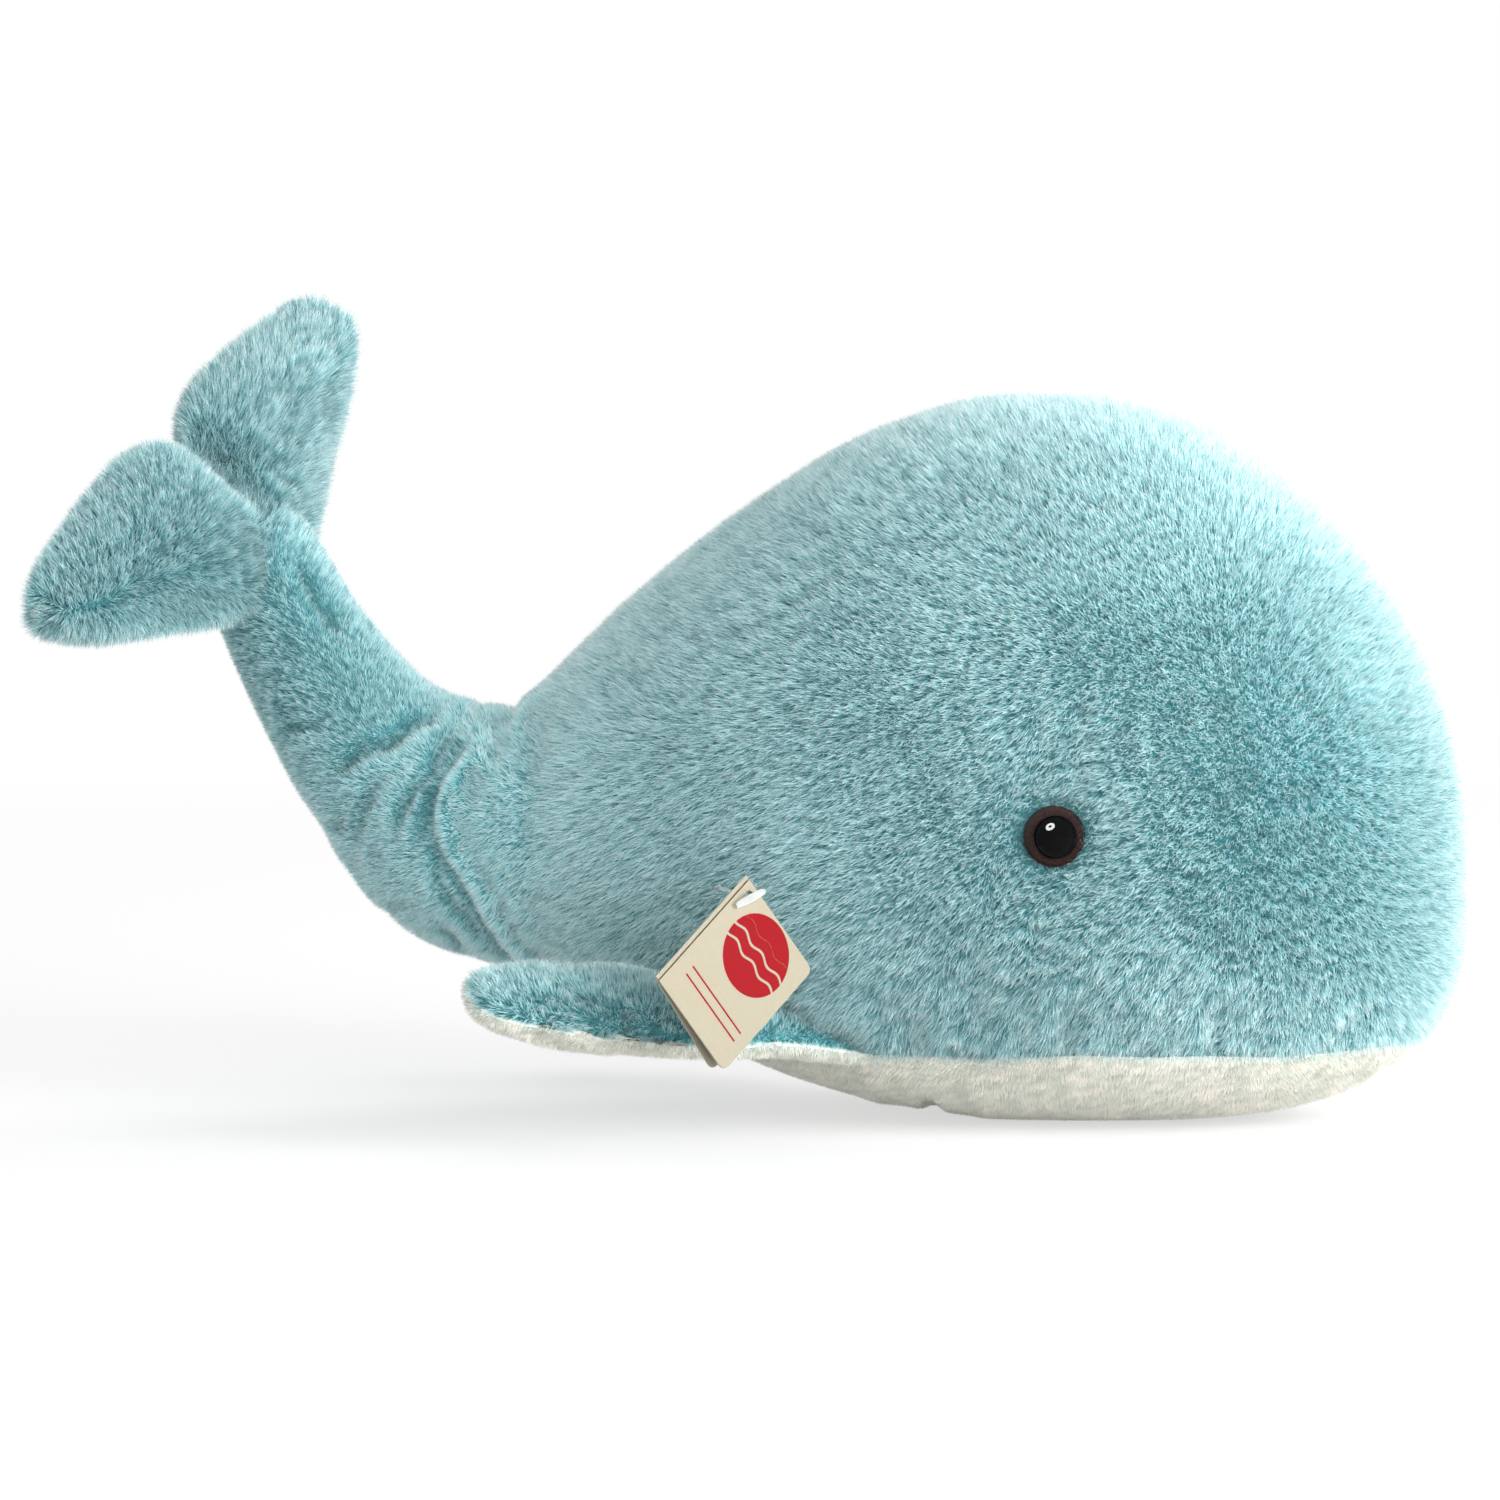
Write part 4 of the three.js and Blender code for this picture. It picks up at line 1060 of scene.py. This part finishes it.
@dataclass
class Fluke(Sized):
    """Two plump lobes on a short neck, leaning to the whale's right and turned about the tail."""

    half_span: float = 100.0
    chord: float = 72.5
    half_thickness: float = 20.0
    tip_power: float = 5.0
    pile_inset: float = 4.4
    bridge: float = 0.92  # least share of the thickness on the side of the neck
    valley: tuple = (0.35, 0.07)  # depth between the lobes at the notch, and how far about it
    root: tuple = (-263.0, 0.0, 178.0)
    out: tuple = (-0.48392, -0.29237, 0.82483)
    span: tuple = (0.33159, 0.81099, 0.48201)
    face: tuple = (0.80985, -0.50676, 0.29551)
    leading: tuple = ((0, -0.08), (0.155, -0.08), (0.31, 0.01), (0.515, 0.15), (0.72, 0.27), (0.876, 0.37),
        (1, 0.475))
    trailing: tuple = ((0, 0.70), (0.05, 0.79), (0.1, 0.85), (0.2, 0.897), (0.31, 0.917), (0.515, 0.908),
        (0.72, 0.885), (0.876, 0.87), (1, 0.85))
    lobe: tuple = ((0, 0.5), (0.06, 0.72), (0.155, 0.93), (0.31, 0.99), (0.515, 0.91), (0.72, 0.76),
        (0.876, 0.62), (1, 0.5))

    def grid(self) -> Grid:
        """The lobes: each ring across the span is centre + chord * a cos + face * b sin.

        a and b shrink to the tip by (1 - place^p)^(1 / p), and the valley between the lobes is deepest at the notch.

        Returns:
            The grid, where the tips of the pile are.
        """
        across = -np.cos(np.linspace(0, math.pi, 130))
        place = np.abs(across)
        tip = (1 - np.minimum(place, 1) ** self.tip_power) ** (1 / self.tip_power)
        front = self.chord * smooth(self.leading, place)
        back = self.chord * smooth(self.trailing, place)
        centre = self.root + self.span * (self.half_span * across)[:, None]
        centre = centre + self.out * ((front + back) / 2)[:, None]
        turn = np.linspace(0, 2 * math.pi, 97)[None]
        reach = ((back - front) / 2 * tip)[:, None] * np.cos(turn)
        lobe = smooth(self.lobe, place)[:, None]
        joined = ease(0.5, -0.45, np.cos(turn))
        share = lobe + (np.maximum(lobe, self.bridge) - lobe) * joined
        bulk = self.half_thickness * tip[:, None] * share * np.sin(turn)
        deep, about = self.valley
        valley = 1 - deep * bell(place, about)[:, None] * ease(-0.2, 0.8, np.cos(turn))
        points = centre[:, None] + self.out * reach[..., None] + self.face * (bulk * valley)[..., None]
        return Grid.of(points, centre)


# Flippers


@dataclass
class Flipper(Sized):
    """A paddle sewn to the body's side and swept back, aqua above and white below."""

    root: tuple = (-90.0, -74.298, 38.0)
    hinge: tuple = (0.9138, -0.21676, -0.34348)
    length: tuple = (-0.87539, -0.46546, 0.13053)
    chord: tuple = (0.39295, -0.84242, -0.36867)
    face: tuple = (0.28156, -0.27144, 0.92035)
    reach: float = 100.0
    half_chord: float = 23.0
    half_thickness: float = 13.2
    tip_power: float = 4.2
    start: float = -0.2
    top_inset: float = 3.6
    under_inset: float = 1.6
    chords: tuple = ((-0.25, 1.15), (0, 0.98), (0.2, 0.94), (0.5, 1), (0.75, 0.95), (0.9, 0.91), (1, 0.88))
    bulks: tuple = ((-0.25, 0.62), (0, 0.68), (0.2, 0.84), (0.45, 1), (0.75, 0.96), (1, 0.84))

    def sizes(self, place: Array) -> tuple[Array, Array]:
        """Half chord and half thickness at a place along it, shrunk to the tip by (1 - place^p)^(1 / p).

        Args:
            place: Shares of its length.

        Returns:
            Both sizes at each place.
        """
        tip = (1 - np.clip(place, 0, 1) ** self.tip_power) ** (1 / self.tip_power)
        return (self.half_chord * smooth(self.chords, place) * tip,
                self.half_thickness * smooth(self.bulks, place) * tip)

    def across(self, place: Array) -> Array:
        """The way from edge to edge at a place along it: along the hinge at the root, and then along the chord."""
        turned = ease(0, 0.5, place)[:, None]
        return unit(self.hinge * (1 - turned) + self.chord * turned)

    def grid(self, under: bool) -> Grid:
        """One half of the paddle, above or below the seam in its edge.

        Args:
            under: Whether it is the lower half.

        Returns:
            The grid, where the tips of the pile are.
        """
        place = self.start + (1 - self.start) * np.sin(np.linspace(0, math.pi / 2, 84))
        half_chord, bulk = self.sizes(place)
        centre = self.root + self.length * (self.reach * place)[:, None]
        turn = (math.pi if under else 0) + np.linspace(0, math.pi, 56)[None]
        points = centre[:, None] + self.across(place)[:, None] * (half_chord[:, None] * np.cos(turn))[..., None]
        points = points + self.face * (bulk[:, None] * np.sin(turn))[..., None]
        return Grid.of(points, centre + self.face * (4 if under else -4))

    def covers(self, p: Array, margin: float) -> Array:
        """Whether points lie inside the paddle, grown by a margin: (c / a)^2 + (f / b)^2 < 1.

        Args:
            p: Points.
            margin: How much larger it is taken to be.

        Returns:
            True or false for each point.
        """
        off = p - self.root
        place = np.clip(off @ self.length / self.reach, self.start, 1)
        half_chord, bulk = self.sizes(place)
        away = off - place[:, None] * self.reach * self.length
        c, f = (away * self.across(place)).sum(-1), away @ self.face
        return (c / (half_chord + margin)) ** 2 + (f / (bulk + margin)) ** 2 < 1


# Eyes, card and fastener


def lathe(profile: list[tuple[float, float]], origin: Array, direction: Array, sides: int = 96) -> Grid:
    """A turned surface: origin + direction * h + r * (a cos + b sin), for each (r, h) of the profile.

    Args:
        profile: Radii and heights.
        origin: Where the height is nought.
        direction: The way that the height grows.
        sides: Columns of the grid.

    Returns:
        The grid.
    """
    direction = unit(direction)
    a = unit(np.cross(direction, [0, 0, 1.0]))
    b = np.cross(direction, a)
    turn = np.linspace(0, 2 * math.pi, sides + 1)
    r, h = np.array(profile, float).T
    around = a * np.cos(turn)[:, None] + b * np.sin(turn)[:, None]
    points = origin + direction * h[:, None, None] + around * r[:, None, None]
    middle = origin + direction * np.full(len(h), h.mean())[:, None]
    return Grid.of(points, middle)


@dataclass
class Eye(Sized):
    """A glossy safety eye on a ring of suede."""

    side: Side
    seat: tuple = (6.219, -93.418, 101.0)
    out: tuple = (0.17365, -0.98481, 0.0)
    ball_radius: float = 6.75
    base: float = 1.5
    height: float = 6.2
    ring_radius: float = 9.7
    ring_height: float = 2.2
    collar_depth: float = 3.5

    def build(self) -> None:
        """Makes the dome and the ring and lets them stand for the solids."""
        flip = np.array([1, -self.side.value, 1])
        seat, out = self.seat * flip, self.out * flip
        turn = np.linspace(0, math.pi / 2, 24)
        rim = self.base + 1
        dome = [(0, self.base - 1), (self.ball_radius, self.base - 1), (self.ball_radius, rim)]
        dome += [(self.ball_radius * math.cos(t), rim + (self.height - 1) * math.sin(t)) for t in turn[1:]]
        ball = closed(self.side.named("eye_dome"), lathe(dome, seat, out))
        dress(ball, BLACK.material())
        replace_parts(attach(ball, "whale_body"), self.side.named("eye"))
        bulge = np.linspace(0, math.pi, 14)
        wide = (self.ring_radius - self.ball_radius) / 2 + 0.5
        middle = self.ring_radius - wide
        ring = [(middle + wide * math.cos(t), 0.2 + self.ring_height * math.sin(t) ** 0.7) for t in bulge]
        hem = [(ring[0][0], -self.collar_depth), *ring, (ring[-1][0], -self.collar_depth)]
        collar = closed(self.side.named("eye_collar"), lathe(hem, seat, out))
        dress(collar, SUEDE.material())
        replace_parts(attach(collar, "whale_body"), self.side.named("eye_ring"))
        roots, normals, hollow = lathe(ring[1:-1], seat, out).scatter(FINE.density)
        brushed = np.tile([-0.3, 0, -1.0], (len(roots), 1))
        strands = FINE.grow(roots, normals, brushed, 17, np.ones(len(roots)), hollow)
        fuzz = dress(FINE.mesh(self.side.named("eye_fuzz"), strands, 18), FUZZ.strands())
        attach(fuzz, "whale_body")


@dataclass
class HangCard(Sized):
    """A folded card that hangs by one corner from a plastic fastener."""

    corner: tuple = (-89.6, -115.0, 89.1)
    across: tuple = (0.40178, 0.45734, -0.79335)
    down: tuple = (-0.52361, -0.59602, -0.60876)
    width: float = 39.0

    def dress_up(self) -> None:
        """Gives the two solid leaves their print, on a map worked out from their own places."""
        for node, printed in (("tag_front_leaf", True), ("tag_back_leaf", False)):
            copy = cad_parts[node].data.copy()
            weld(copy, 0.002, False)
            made = bpy.data.objects.new(node.replace("leaf", "card"), copy)
            bpy.context.scene.collection.objects.link(made)
            corner = np.empty(len(copy.loops), np.int32)
            copy.loops.foreach_get("vertex_index", corner)
            co = np.empty(len(copy.vertices) * 3, np.float32)
            copy.vertices.foreach_get("co", co)
            p = co.reshape(-1, 3)[corner] / METRE - self.corner
            place = np.stack([p @ self.across, p @ self.down], axis=1) / self.width
            layer = copy.uv_layers.new(name="card")
            layer.data.foreach_set("uv", place.astype(np.float32).ravel())
            dress(made, CARD.material(printed))
            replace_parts(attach(made, "tag_front" if printed else "tag_back"), node)


# The whale


@dataclass
class Whale(Sized):
    """Puts the skins, the pile, the eyes and the card together."""

    body: BodyAndTail = field(default_factory=BodyAndTail)
    fluke: Fluke = field(default_factory=Fluke)
    flipper: Flipper = field(default_factory=Flipper)
    split: float = -232.0  # where the skin of body and tail is cut in two
    cheek: tuple = (60.0, 95.0)  # x and z
    painted_light_and_shade: tuple = ((58, 154, 75, 0.12), (-50, 170, 60, -0.09), (-17, 36, 75, -0.16), (-181, 99, 45, 0.15),
        (-262, 147, 38, -0.2))  # painted light and shade on the pile: x, z, reach and how much
    fluke_painted_shade: float = -0.17  # painted shade on all the pile of the fluke
    eye_gap: float = 9.0  # radius round an eye that is free of pile
    eye_reach: float = 16.0  # and the one in which the pile is pushed away

    def brushed(self, p: Array) -> Array:
        """The way the body's pile is brushed: back along the body, a little down, and up along the tail.

        Args:
            p: Points.

        Returns:
            A direction for each.
        """
        up = ease(-170, -235, p[:, 0])
        down = 0.12 + 0.42 * ease(70, -15, p[:, 0]) + 0.7 * ease(40, 26, p[:, 2]) * ease(-160, -120, p[:, 0])
        return unit(np.stack([-1 + 0.4 * up, np.zeros(len(p)), 1.3 * up - down], axis=1))

    def body_pieces(self) -> None:
        """Skins and pile of the body and tail."""
        body = self.body
        x = body.stations(self.split)
        skin = PADDING.skin(body.grid(x, belly=False), body.pile_depth(x), cloth=0.9, fade=0.08)
        side = backed("side_skin", skin, AQUA)
        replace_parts(side, "right_side_panel", "left_side_panel", "body_stuffing")
        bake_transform(side)
        lying = x[(body.seam_turn(x) < math.pi / 2 - 1e-3) & (x > -125)]
        under = body.grid(np.linspace(lying.max(), lying.min(), 120), belly=True).inset(body.belly_inset)
        low = backed("belly_skin", under, WHITE)
        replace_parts(low, "belly_panel")
        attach(low, "whale_body")
        x = np.linspace(self.split, -268.5, 40)
        rear = body.grid(x, belly=False).inset(body.pile_depth(x))
        stalk = backed("tail_skin", rear, AQUA)
        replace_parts(stalk, "tail_cover", "tail_stuffing")
        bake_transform(stalk)
        roots, normals, hollow = skin.scatter(LONG.density)
        keep = self.clear_of_eyes(roots) & ~self.under_flippers(roots)
        roots, normals, hollow = roots[keep], normals[keep], hollow[keep]
        brushed, share, hollow = self.round_the_eyes(roots, self.brushed(roots), hollow)
        share = share * body.pile_share(roots)
        strands = LONG.grow(roots, normals, brushed, 11, share, hollow, self.bold(roots), self.light(roots))
        bend = roots[:, 0] < body.bend_from
        self.pieces("body_pile", choose(strands, ~bend), LONG, AQUA, 21, "whale_body")
        tail = self.pieces("tail_root_pile", choose(strands, bend), LONG, AQUA, 31, None)
        for piece in tail:
            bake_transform(piece)
        roots, normals, hollow = rear.scatter(LONG.density)
        brushed, share = self.brushed(roots), body.pile_share(roots)
        strands = LONG.grow(roots, normals, brushed, 12, share, hollow, self.bold(roots), self.light(roots))
        for piece in self.pieces("tail_end_pile", strands, LONG, AQUA, 41, None):
            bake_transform(piece)
        roots, normals, hollow = under.scatter(SHORT.density)
        flat = 1 - 0.45 * ease(6, 1, roots[:, 2])
        strands = SHORT.grow(roots, normals, np.tile([-1.0, 0, 0], (len(roots), 1)), 13, flat, hollow)
        self.pieces("belly_pile", strands, SHORT, WHITE, 51, "whale_body")

    def bold(self, p: Array) -> Array:
        """How strongly the tufts stand out, in their pull and in their painted light and shade: most on the cheeks,
        where the pile is seen end on, least to the tail.
        """
        return 0.6 + 0.7 * bell(np.linalg.norm(p[:, [0, 2]] - self.cheek, axis=1), 95)

    def light(self, p: Array) -> Array:
        """Painted light and shade on the pile by place: the sum of amount * bell(distance in x and z, reach)."""
        return sum(amount * bell(np.hypot(p[:, 0] - x, p[:, 2] - z), reach) for x, z, reach, amount in self.painted_light_and_shade)

    def from_eye(self, p: Array) -> Array:
        """Points as seen from the eye on the right, those of the left side mirrored to it."""
        return on_the_right(p) - self.body.eye_seat

    def clear_of_eyes(self, p: Array) -> Array:
        """Whether points are clear of both eyes' rings."""
        return np.linalg.norm(self.from_eye(p), axis=1) > self.eye_gap

    def round_the_eyes(self, p: Array, brushed: Array, hollow: Array) -> tuple[Array, Array, Array]:
        """Pile beside an eye is shorter and is pushed away a little, and painted shade darkens it above and behind
        the eye.

        Args:
            p: Points.
            brushed: The direction that the pile is brushed in.
            hollow: How hollow the skin is.

        Returns:
            The direction that it is brushed in, the share of its length, and how hollow it is, with that painted
            shade added.
        """
        off = self.from_eye(p)
        near = ease(self.eye_reach, self.eye_gap, np.linalg.norm(off, axis=1))
        away = unit(off) * np.stack([np.ones(len(p)), -np.sign(p[:, 1]), np.ones(len(p))], axis=1)
        # Painted shade above and behind the eye, added to the hollow
        shaded = near * (0.35 + 0.65 * np.clip(unit(off) @ np.array([-0.5, 0, 0.86]), -0.4, 1))
        turned = brushed * (1 - 0.6 * near[:, None]) + 0.6 * away * near[:, None]
        return turned, 1 - 0.22 * near, hollow + 2.6 * shaded

    def under_flippers(self, p: Array) -> Array:
        """Whether points lie under where a flipper is sewn on, or close below its lower side."""
        p = on_the_right(p)
        return self.flipper.covers(p, -5.5) | self.flipper.covers(p + 3.5 * self.flipper.face, -2.0)

    def pieces(self, name: str, strands: dict[str, Array], pile: Pile, finish: PileFinish, seed: int,
               body: str | None) -> list[Object]:
        """Makes the pile's meshes, cut across into pieces of even size.

        Args:
            name: Name, to which a number is added where there are several.
            strands: What to make.
            pile: How it stands.
            finish: What it is made of.
            seed: Start of the random draws.
            body: CAD body that they ride on, or None if they are to be blended.

        Returns:
            The objects.
        """
        order = np.argsort(-strands["root"][:, 0], kind="stable")
        groups = np.array_split(order, max(1, math.ceil(len(order) / pile.limit)))
        material = finish.strands()
        made = []
        for k, group in enumerate(groups):
            label = name if len(groups) == 1 else f"{name}_{k + 1}"
            piece = pile.mesh(label, choose(strands, group), seed + k)
            dress(piece, material)
            if body:
                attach(piece, body)
            made.append(piece)
        log.info("%s: %d strands in %d pieces", name, len(order), len(groups))
        return made

    def fluke_pieces(self) -> None:
        """Skin and pile of the fluke."""
        skin = PADDING.skin(self.fluke.grid(), self.fluke.pile_inset, cloth=0.8, fade=0.35)
        lobes = backed("fluke_skin", skin, AQUA)
        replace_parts(lobes, "fluke_top", "fluke_underside", "fluke_stuffing")
        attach(lobes, "fluke")
        roots, normals, hollow = skin.scatter(LONG.density)
        sign = np.sign((roots - self.fluke.root) @ self.fluke.span)[:, None]
        brushed = unit(0.8 * self.fluke.out + 0.6 * sign * self.fluke.span)
        share = np.full(len(roots), 1.15)
        # The fluke's pile is darkened all over with painted shade
        strands = LONG.grow(roots, normals, brushed, 14, share, hollow, 0.62, self.fluke_painted_shade)
        self.pieces("fluke_pile", strands, LONG, AQUA, 61, "fluke")

    def flipper_pieces(self) -> None:
        """Skins and pile of the flippers."""
        for side in Side:
            body = f"flipper_{side.name.lower()}"
            for under in (False, True):
                inset = self.flipper.under_inset if under else self.flipper.top_inset
                skin = PADDING.skin(self.flipper.grid(under), inset, cloth=0.6, fade=0.5)
                if side is Side.LEFT:
                    skin = skin.mirrored()
                finish, pile = (WHITE, SHORT) if under else (AQUA, FLIPPER_PILE)
                label = "flipper_underside" if under else "flipper_top"
                piece = backed(side.named(f"{label}_skin"), skin, finish)
                held = [side.named(label)] + ([] if under else [side.named("flipper_stuffing")])
                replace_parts(piece, *held)
                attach(piece, body)
                roots, normals, hollow = skin.scatter(pile.density)
                flip = np.array([1, -side.value, 1])
                brushed = (0.9 * self.flipper.length - 0.6 * self.flipper.face) * flip
                edge = 1 - np.abs(normals @ (self.flipper.face * flip))
                brushed = unit(brushed) * (1 + 1.4 * edge**2)[:, None]
                strands = pile.grow(roots, normals, brushed, 15 + 2 * under, np.ones(len(roots)), hollow)
                self.pieces(side.named(f"{label}_pile"), strands, pile, finish, 71 + 2 * under, body)

    def hard_pieces(self) -> None:
        """Eyes, card, fastener and the hidden washers."""
        for side in Side:
            Eye(side).build()
            dress(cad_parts[side.named("eye_washer")], PLASTIC.material())
        HangCard().dress_up()
        dress(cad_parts["tag_fastener"], CLEAR.material())


# Studio


@dataclass
class Studio(Sized):
    """A plain pale floor under soft light, with the camera where the photograph's was."""

    camera_at: tuple = (0.11639, -2.06257, 0.26612)
    target: tuple = (-0.1004, 0.0, 0.1211)
    lens: float = 150.0
    clips: tuple = (0.05, 100.0)  # nearest and farthest that the camera sees
    floor_reach: float = 30000.0
    floor_colour: tuple = (0.93, 0.93, 0.93, 1.0)
    floor_fade: tuple = (0.25, 1.6, 0.62, 1.0)  # from and to where, and shares of plain white there
    world_level: float = 0.48
    catch_at: tuple = (6.2, -97.0, 101.0)  # the eye that it shows in
    catch_way: tuple = (-0.274, -0.6, 0.76)
    catch_distance: float = 1500.0
    catch_reach: tuple = (0.12, 0.36)  # radii, as shares of its distance
    catch_level: float = 170.0
    lamps: list = field(default_factory=lambda: [  # name, place, what it lights, size and power
        ("key", (1.3, -0.75, 0.5), (0.05, 0, 0.1), 0.9, 36.0),
        ("side", (0.35, -1.2, 0.45), (0.05, 0, 0.13), 0.8, 6.0),
        ("above", (-0.42, -1.0, 1.25), (-0.05, 0, 0.12), 1.1, 2.5),
        ("back", (0.1, 0.9, 1.5), (-0.05, 0, 0.15), 1.2, 8.0),
        ("rim", (1.1, 0.9, 0.9), (0.05, 0, 0.12), 0.9, 8.0)])

    def build(self) -> None:
        """Makes the floor, the world, the lamps and the camera."""
        bpy.context.scene.view_settings.view_transform = "Standard"
        self.floor()
        self.world()
        for lamp in self.lamps:
            self.lamp(*lamp)
        self.catch_light()
        camera = bpy.data.objects.new("camera", bpy.data.cameras.new("camera"))
        bpy.context.scene.collection.objects.link(camera)
        self.place(camera, self.camera_at, self.target)
        camera.data.lens = self.lens
        camera.data.clip_start, camera.data.clip_end = self.clips
        bpy.context.scene.camera = camera

    def floor(self) -> None:
        """Makes the floor, which fades to plain white away from the whale and keeps its shadow."""
        square = np.array([[-1, -1, 0], [1, -1, 0], [1, 1, 0], [-1, 1, 0]]) * self.floor_reach
        floor = to_object("floor", square, np.array([[0, 1, 2, 3]]), False)
        recipe = Recipe("floor", Roughness=1.0, Specular_IOR_Level=0.0)
        recipe.shader.inputs["Base Color"].default_value = self.floor_colour
        place = recipe.node("ShaderNodeTexCoord").outputs["Object"]
        distance = recipe.node("ShaderNodeVectorMath", place, operation="LENGTH").outputs["Value"]
        fade = recipe.node("ShaderNodeMapRange", distance, *self.floor_fade).outputs[0]
        share = recipe.maths("MULTIPLY", recipe.direct(), fade)
        floor.data.materials.append(recipe.shown(recipe.surface(share, recipe.shader.outputs[0], recipe.glow(1.0))))

    def world(self) -> None:
        """Makes the world: soft light on the whale, and plain white where it is seen."""
        world = bpy.data.worlds.new("studio")
        world.use_nodes = True
        bpy.context.scene.world = world
        nodes = Nodes(world.node_tree)
        soft = world.node_tree.nodes["Background"]
        soft.inputs[0].default_value = (1, 1, 1, 1)
        soft.inputs[1].default_value = self.world_level
        seen = nodes.node("ShaderNodeBackground", (1, 1, 1, 1), 1.0).outputs[0]
        both = nodes.surface(nodes.direct(), soft.outputs[0], seen)
        world.node_tree.links.new(both, world.node_tree.nodes["World Output"].inputs[0])

    def catch_light(self) -> None:
        """Adds the ring that shows in the eye's gloss and nowhere else; no lamp shows in a reflection."""
        turn = np.linspace(0, 2 * math.pi, 65)[:-1]
        way = unit(self.catch_way)
        a = unit(np.cross(way, [0, 0, 1.0]))
        around = a * np.cos(turn)[:, None] + np.cross(way, a) * np.sin(turn)[:, None]
        middle = self.catch_at + way * self.catch_distance
        points = np.concatenate([middle + r * self.catch_distance * around for r in self.catch_reach])
        k = np.arange(64)
        faces = np.stack([k, (k + 1) % 64, 64 + (k + 1) % 64, 64 + k], axis=1)
        ring = to_object("catch_light", points, faces, False)
        recipe = Recipe("catch_light")
        ring.data.materials.append(recipe.shown(recipe.glow(self.catch_level)))
        ring.visible_camera = ring.visible_diffuse = ring.visible_shadow = ring.visible_transmission = False

    def lamp(self, name: str, at: tuple, target: tuple, size: float, power: float) -> None:
        """Adds a round soft lamp that looks at a target and shows in no reflection.

        Args:
            name: Name of the lamp.
            at: Where it is.
            target: What it looks at.
            size: Its diameter in metres.
            power: Its power in watts.
        """
        light = bpy.data.lights.new(name, "AREA")
        light.shape, light.size, light.energy = "DISK", size, power
        made = bpy.data.objects.new(name, light)
        bpy.context.scene.collection.objects.link(made)
        made.visible_glossy = False
        self.place(made, at, target)

    def place(self, made: Object, at: Array, target: Array) -> None:
        """Puts a lamp or a camera somewhere, looking at a target."""
        made.location = at
        made.rotation_mode = "QUATERNION"
        made.rotation_quaternion = (Vector(target) - Vector(at)).to_track_quat("-Z", "Y")


def main() -> None:
    """Builds the whale and the studio in order and writes the sizes."""
    logging.basicConfig(level=logging.INFO, format="%(name)s: %(message)s")
    whale = Whale()
    for label, step in (("body", whale.body_pieces), ("fluke", whale.fluke_pieces),
                        ("flippers", whale.flipper_pieces), ("hard pieces", whale.hard_pieces)):
        step()
        log.info("%s built", label)
    Studio().build()


if __name__ == "__main__":
    main()
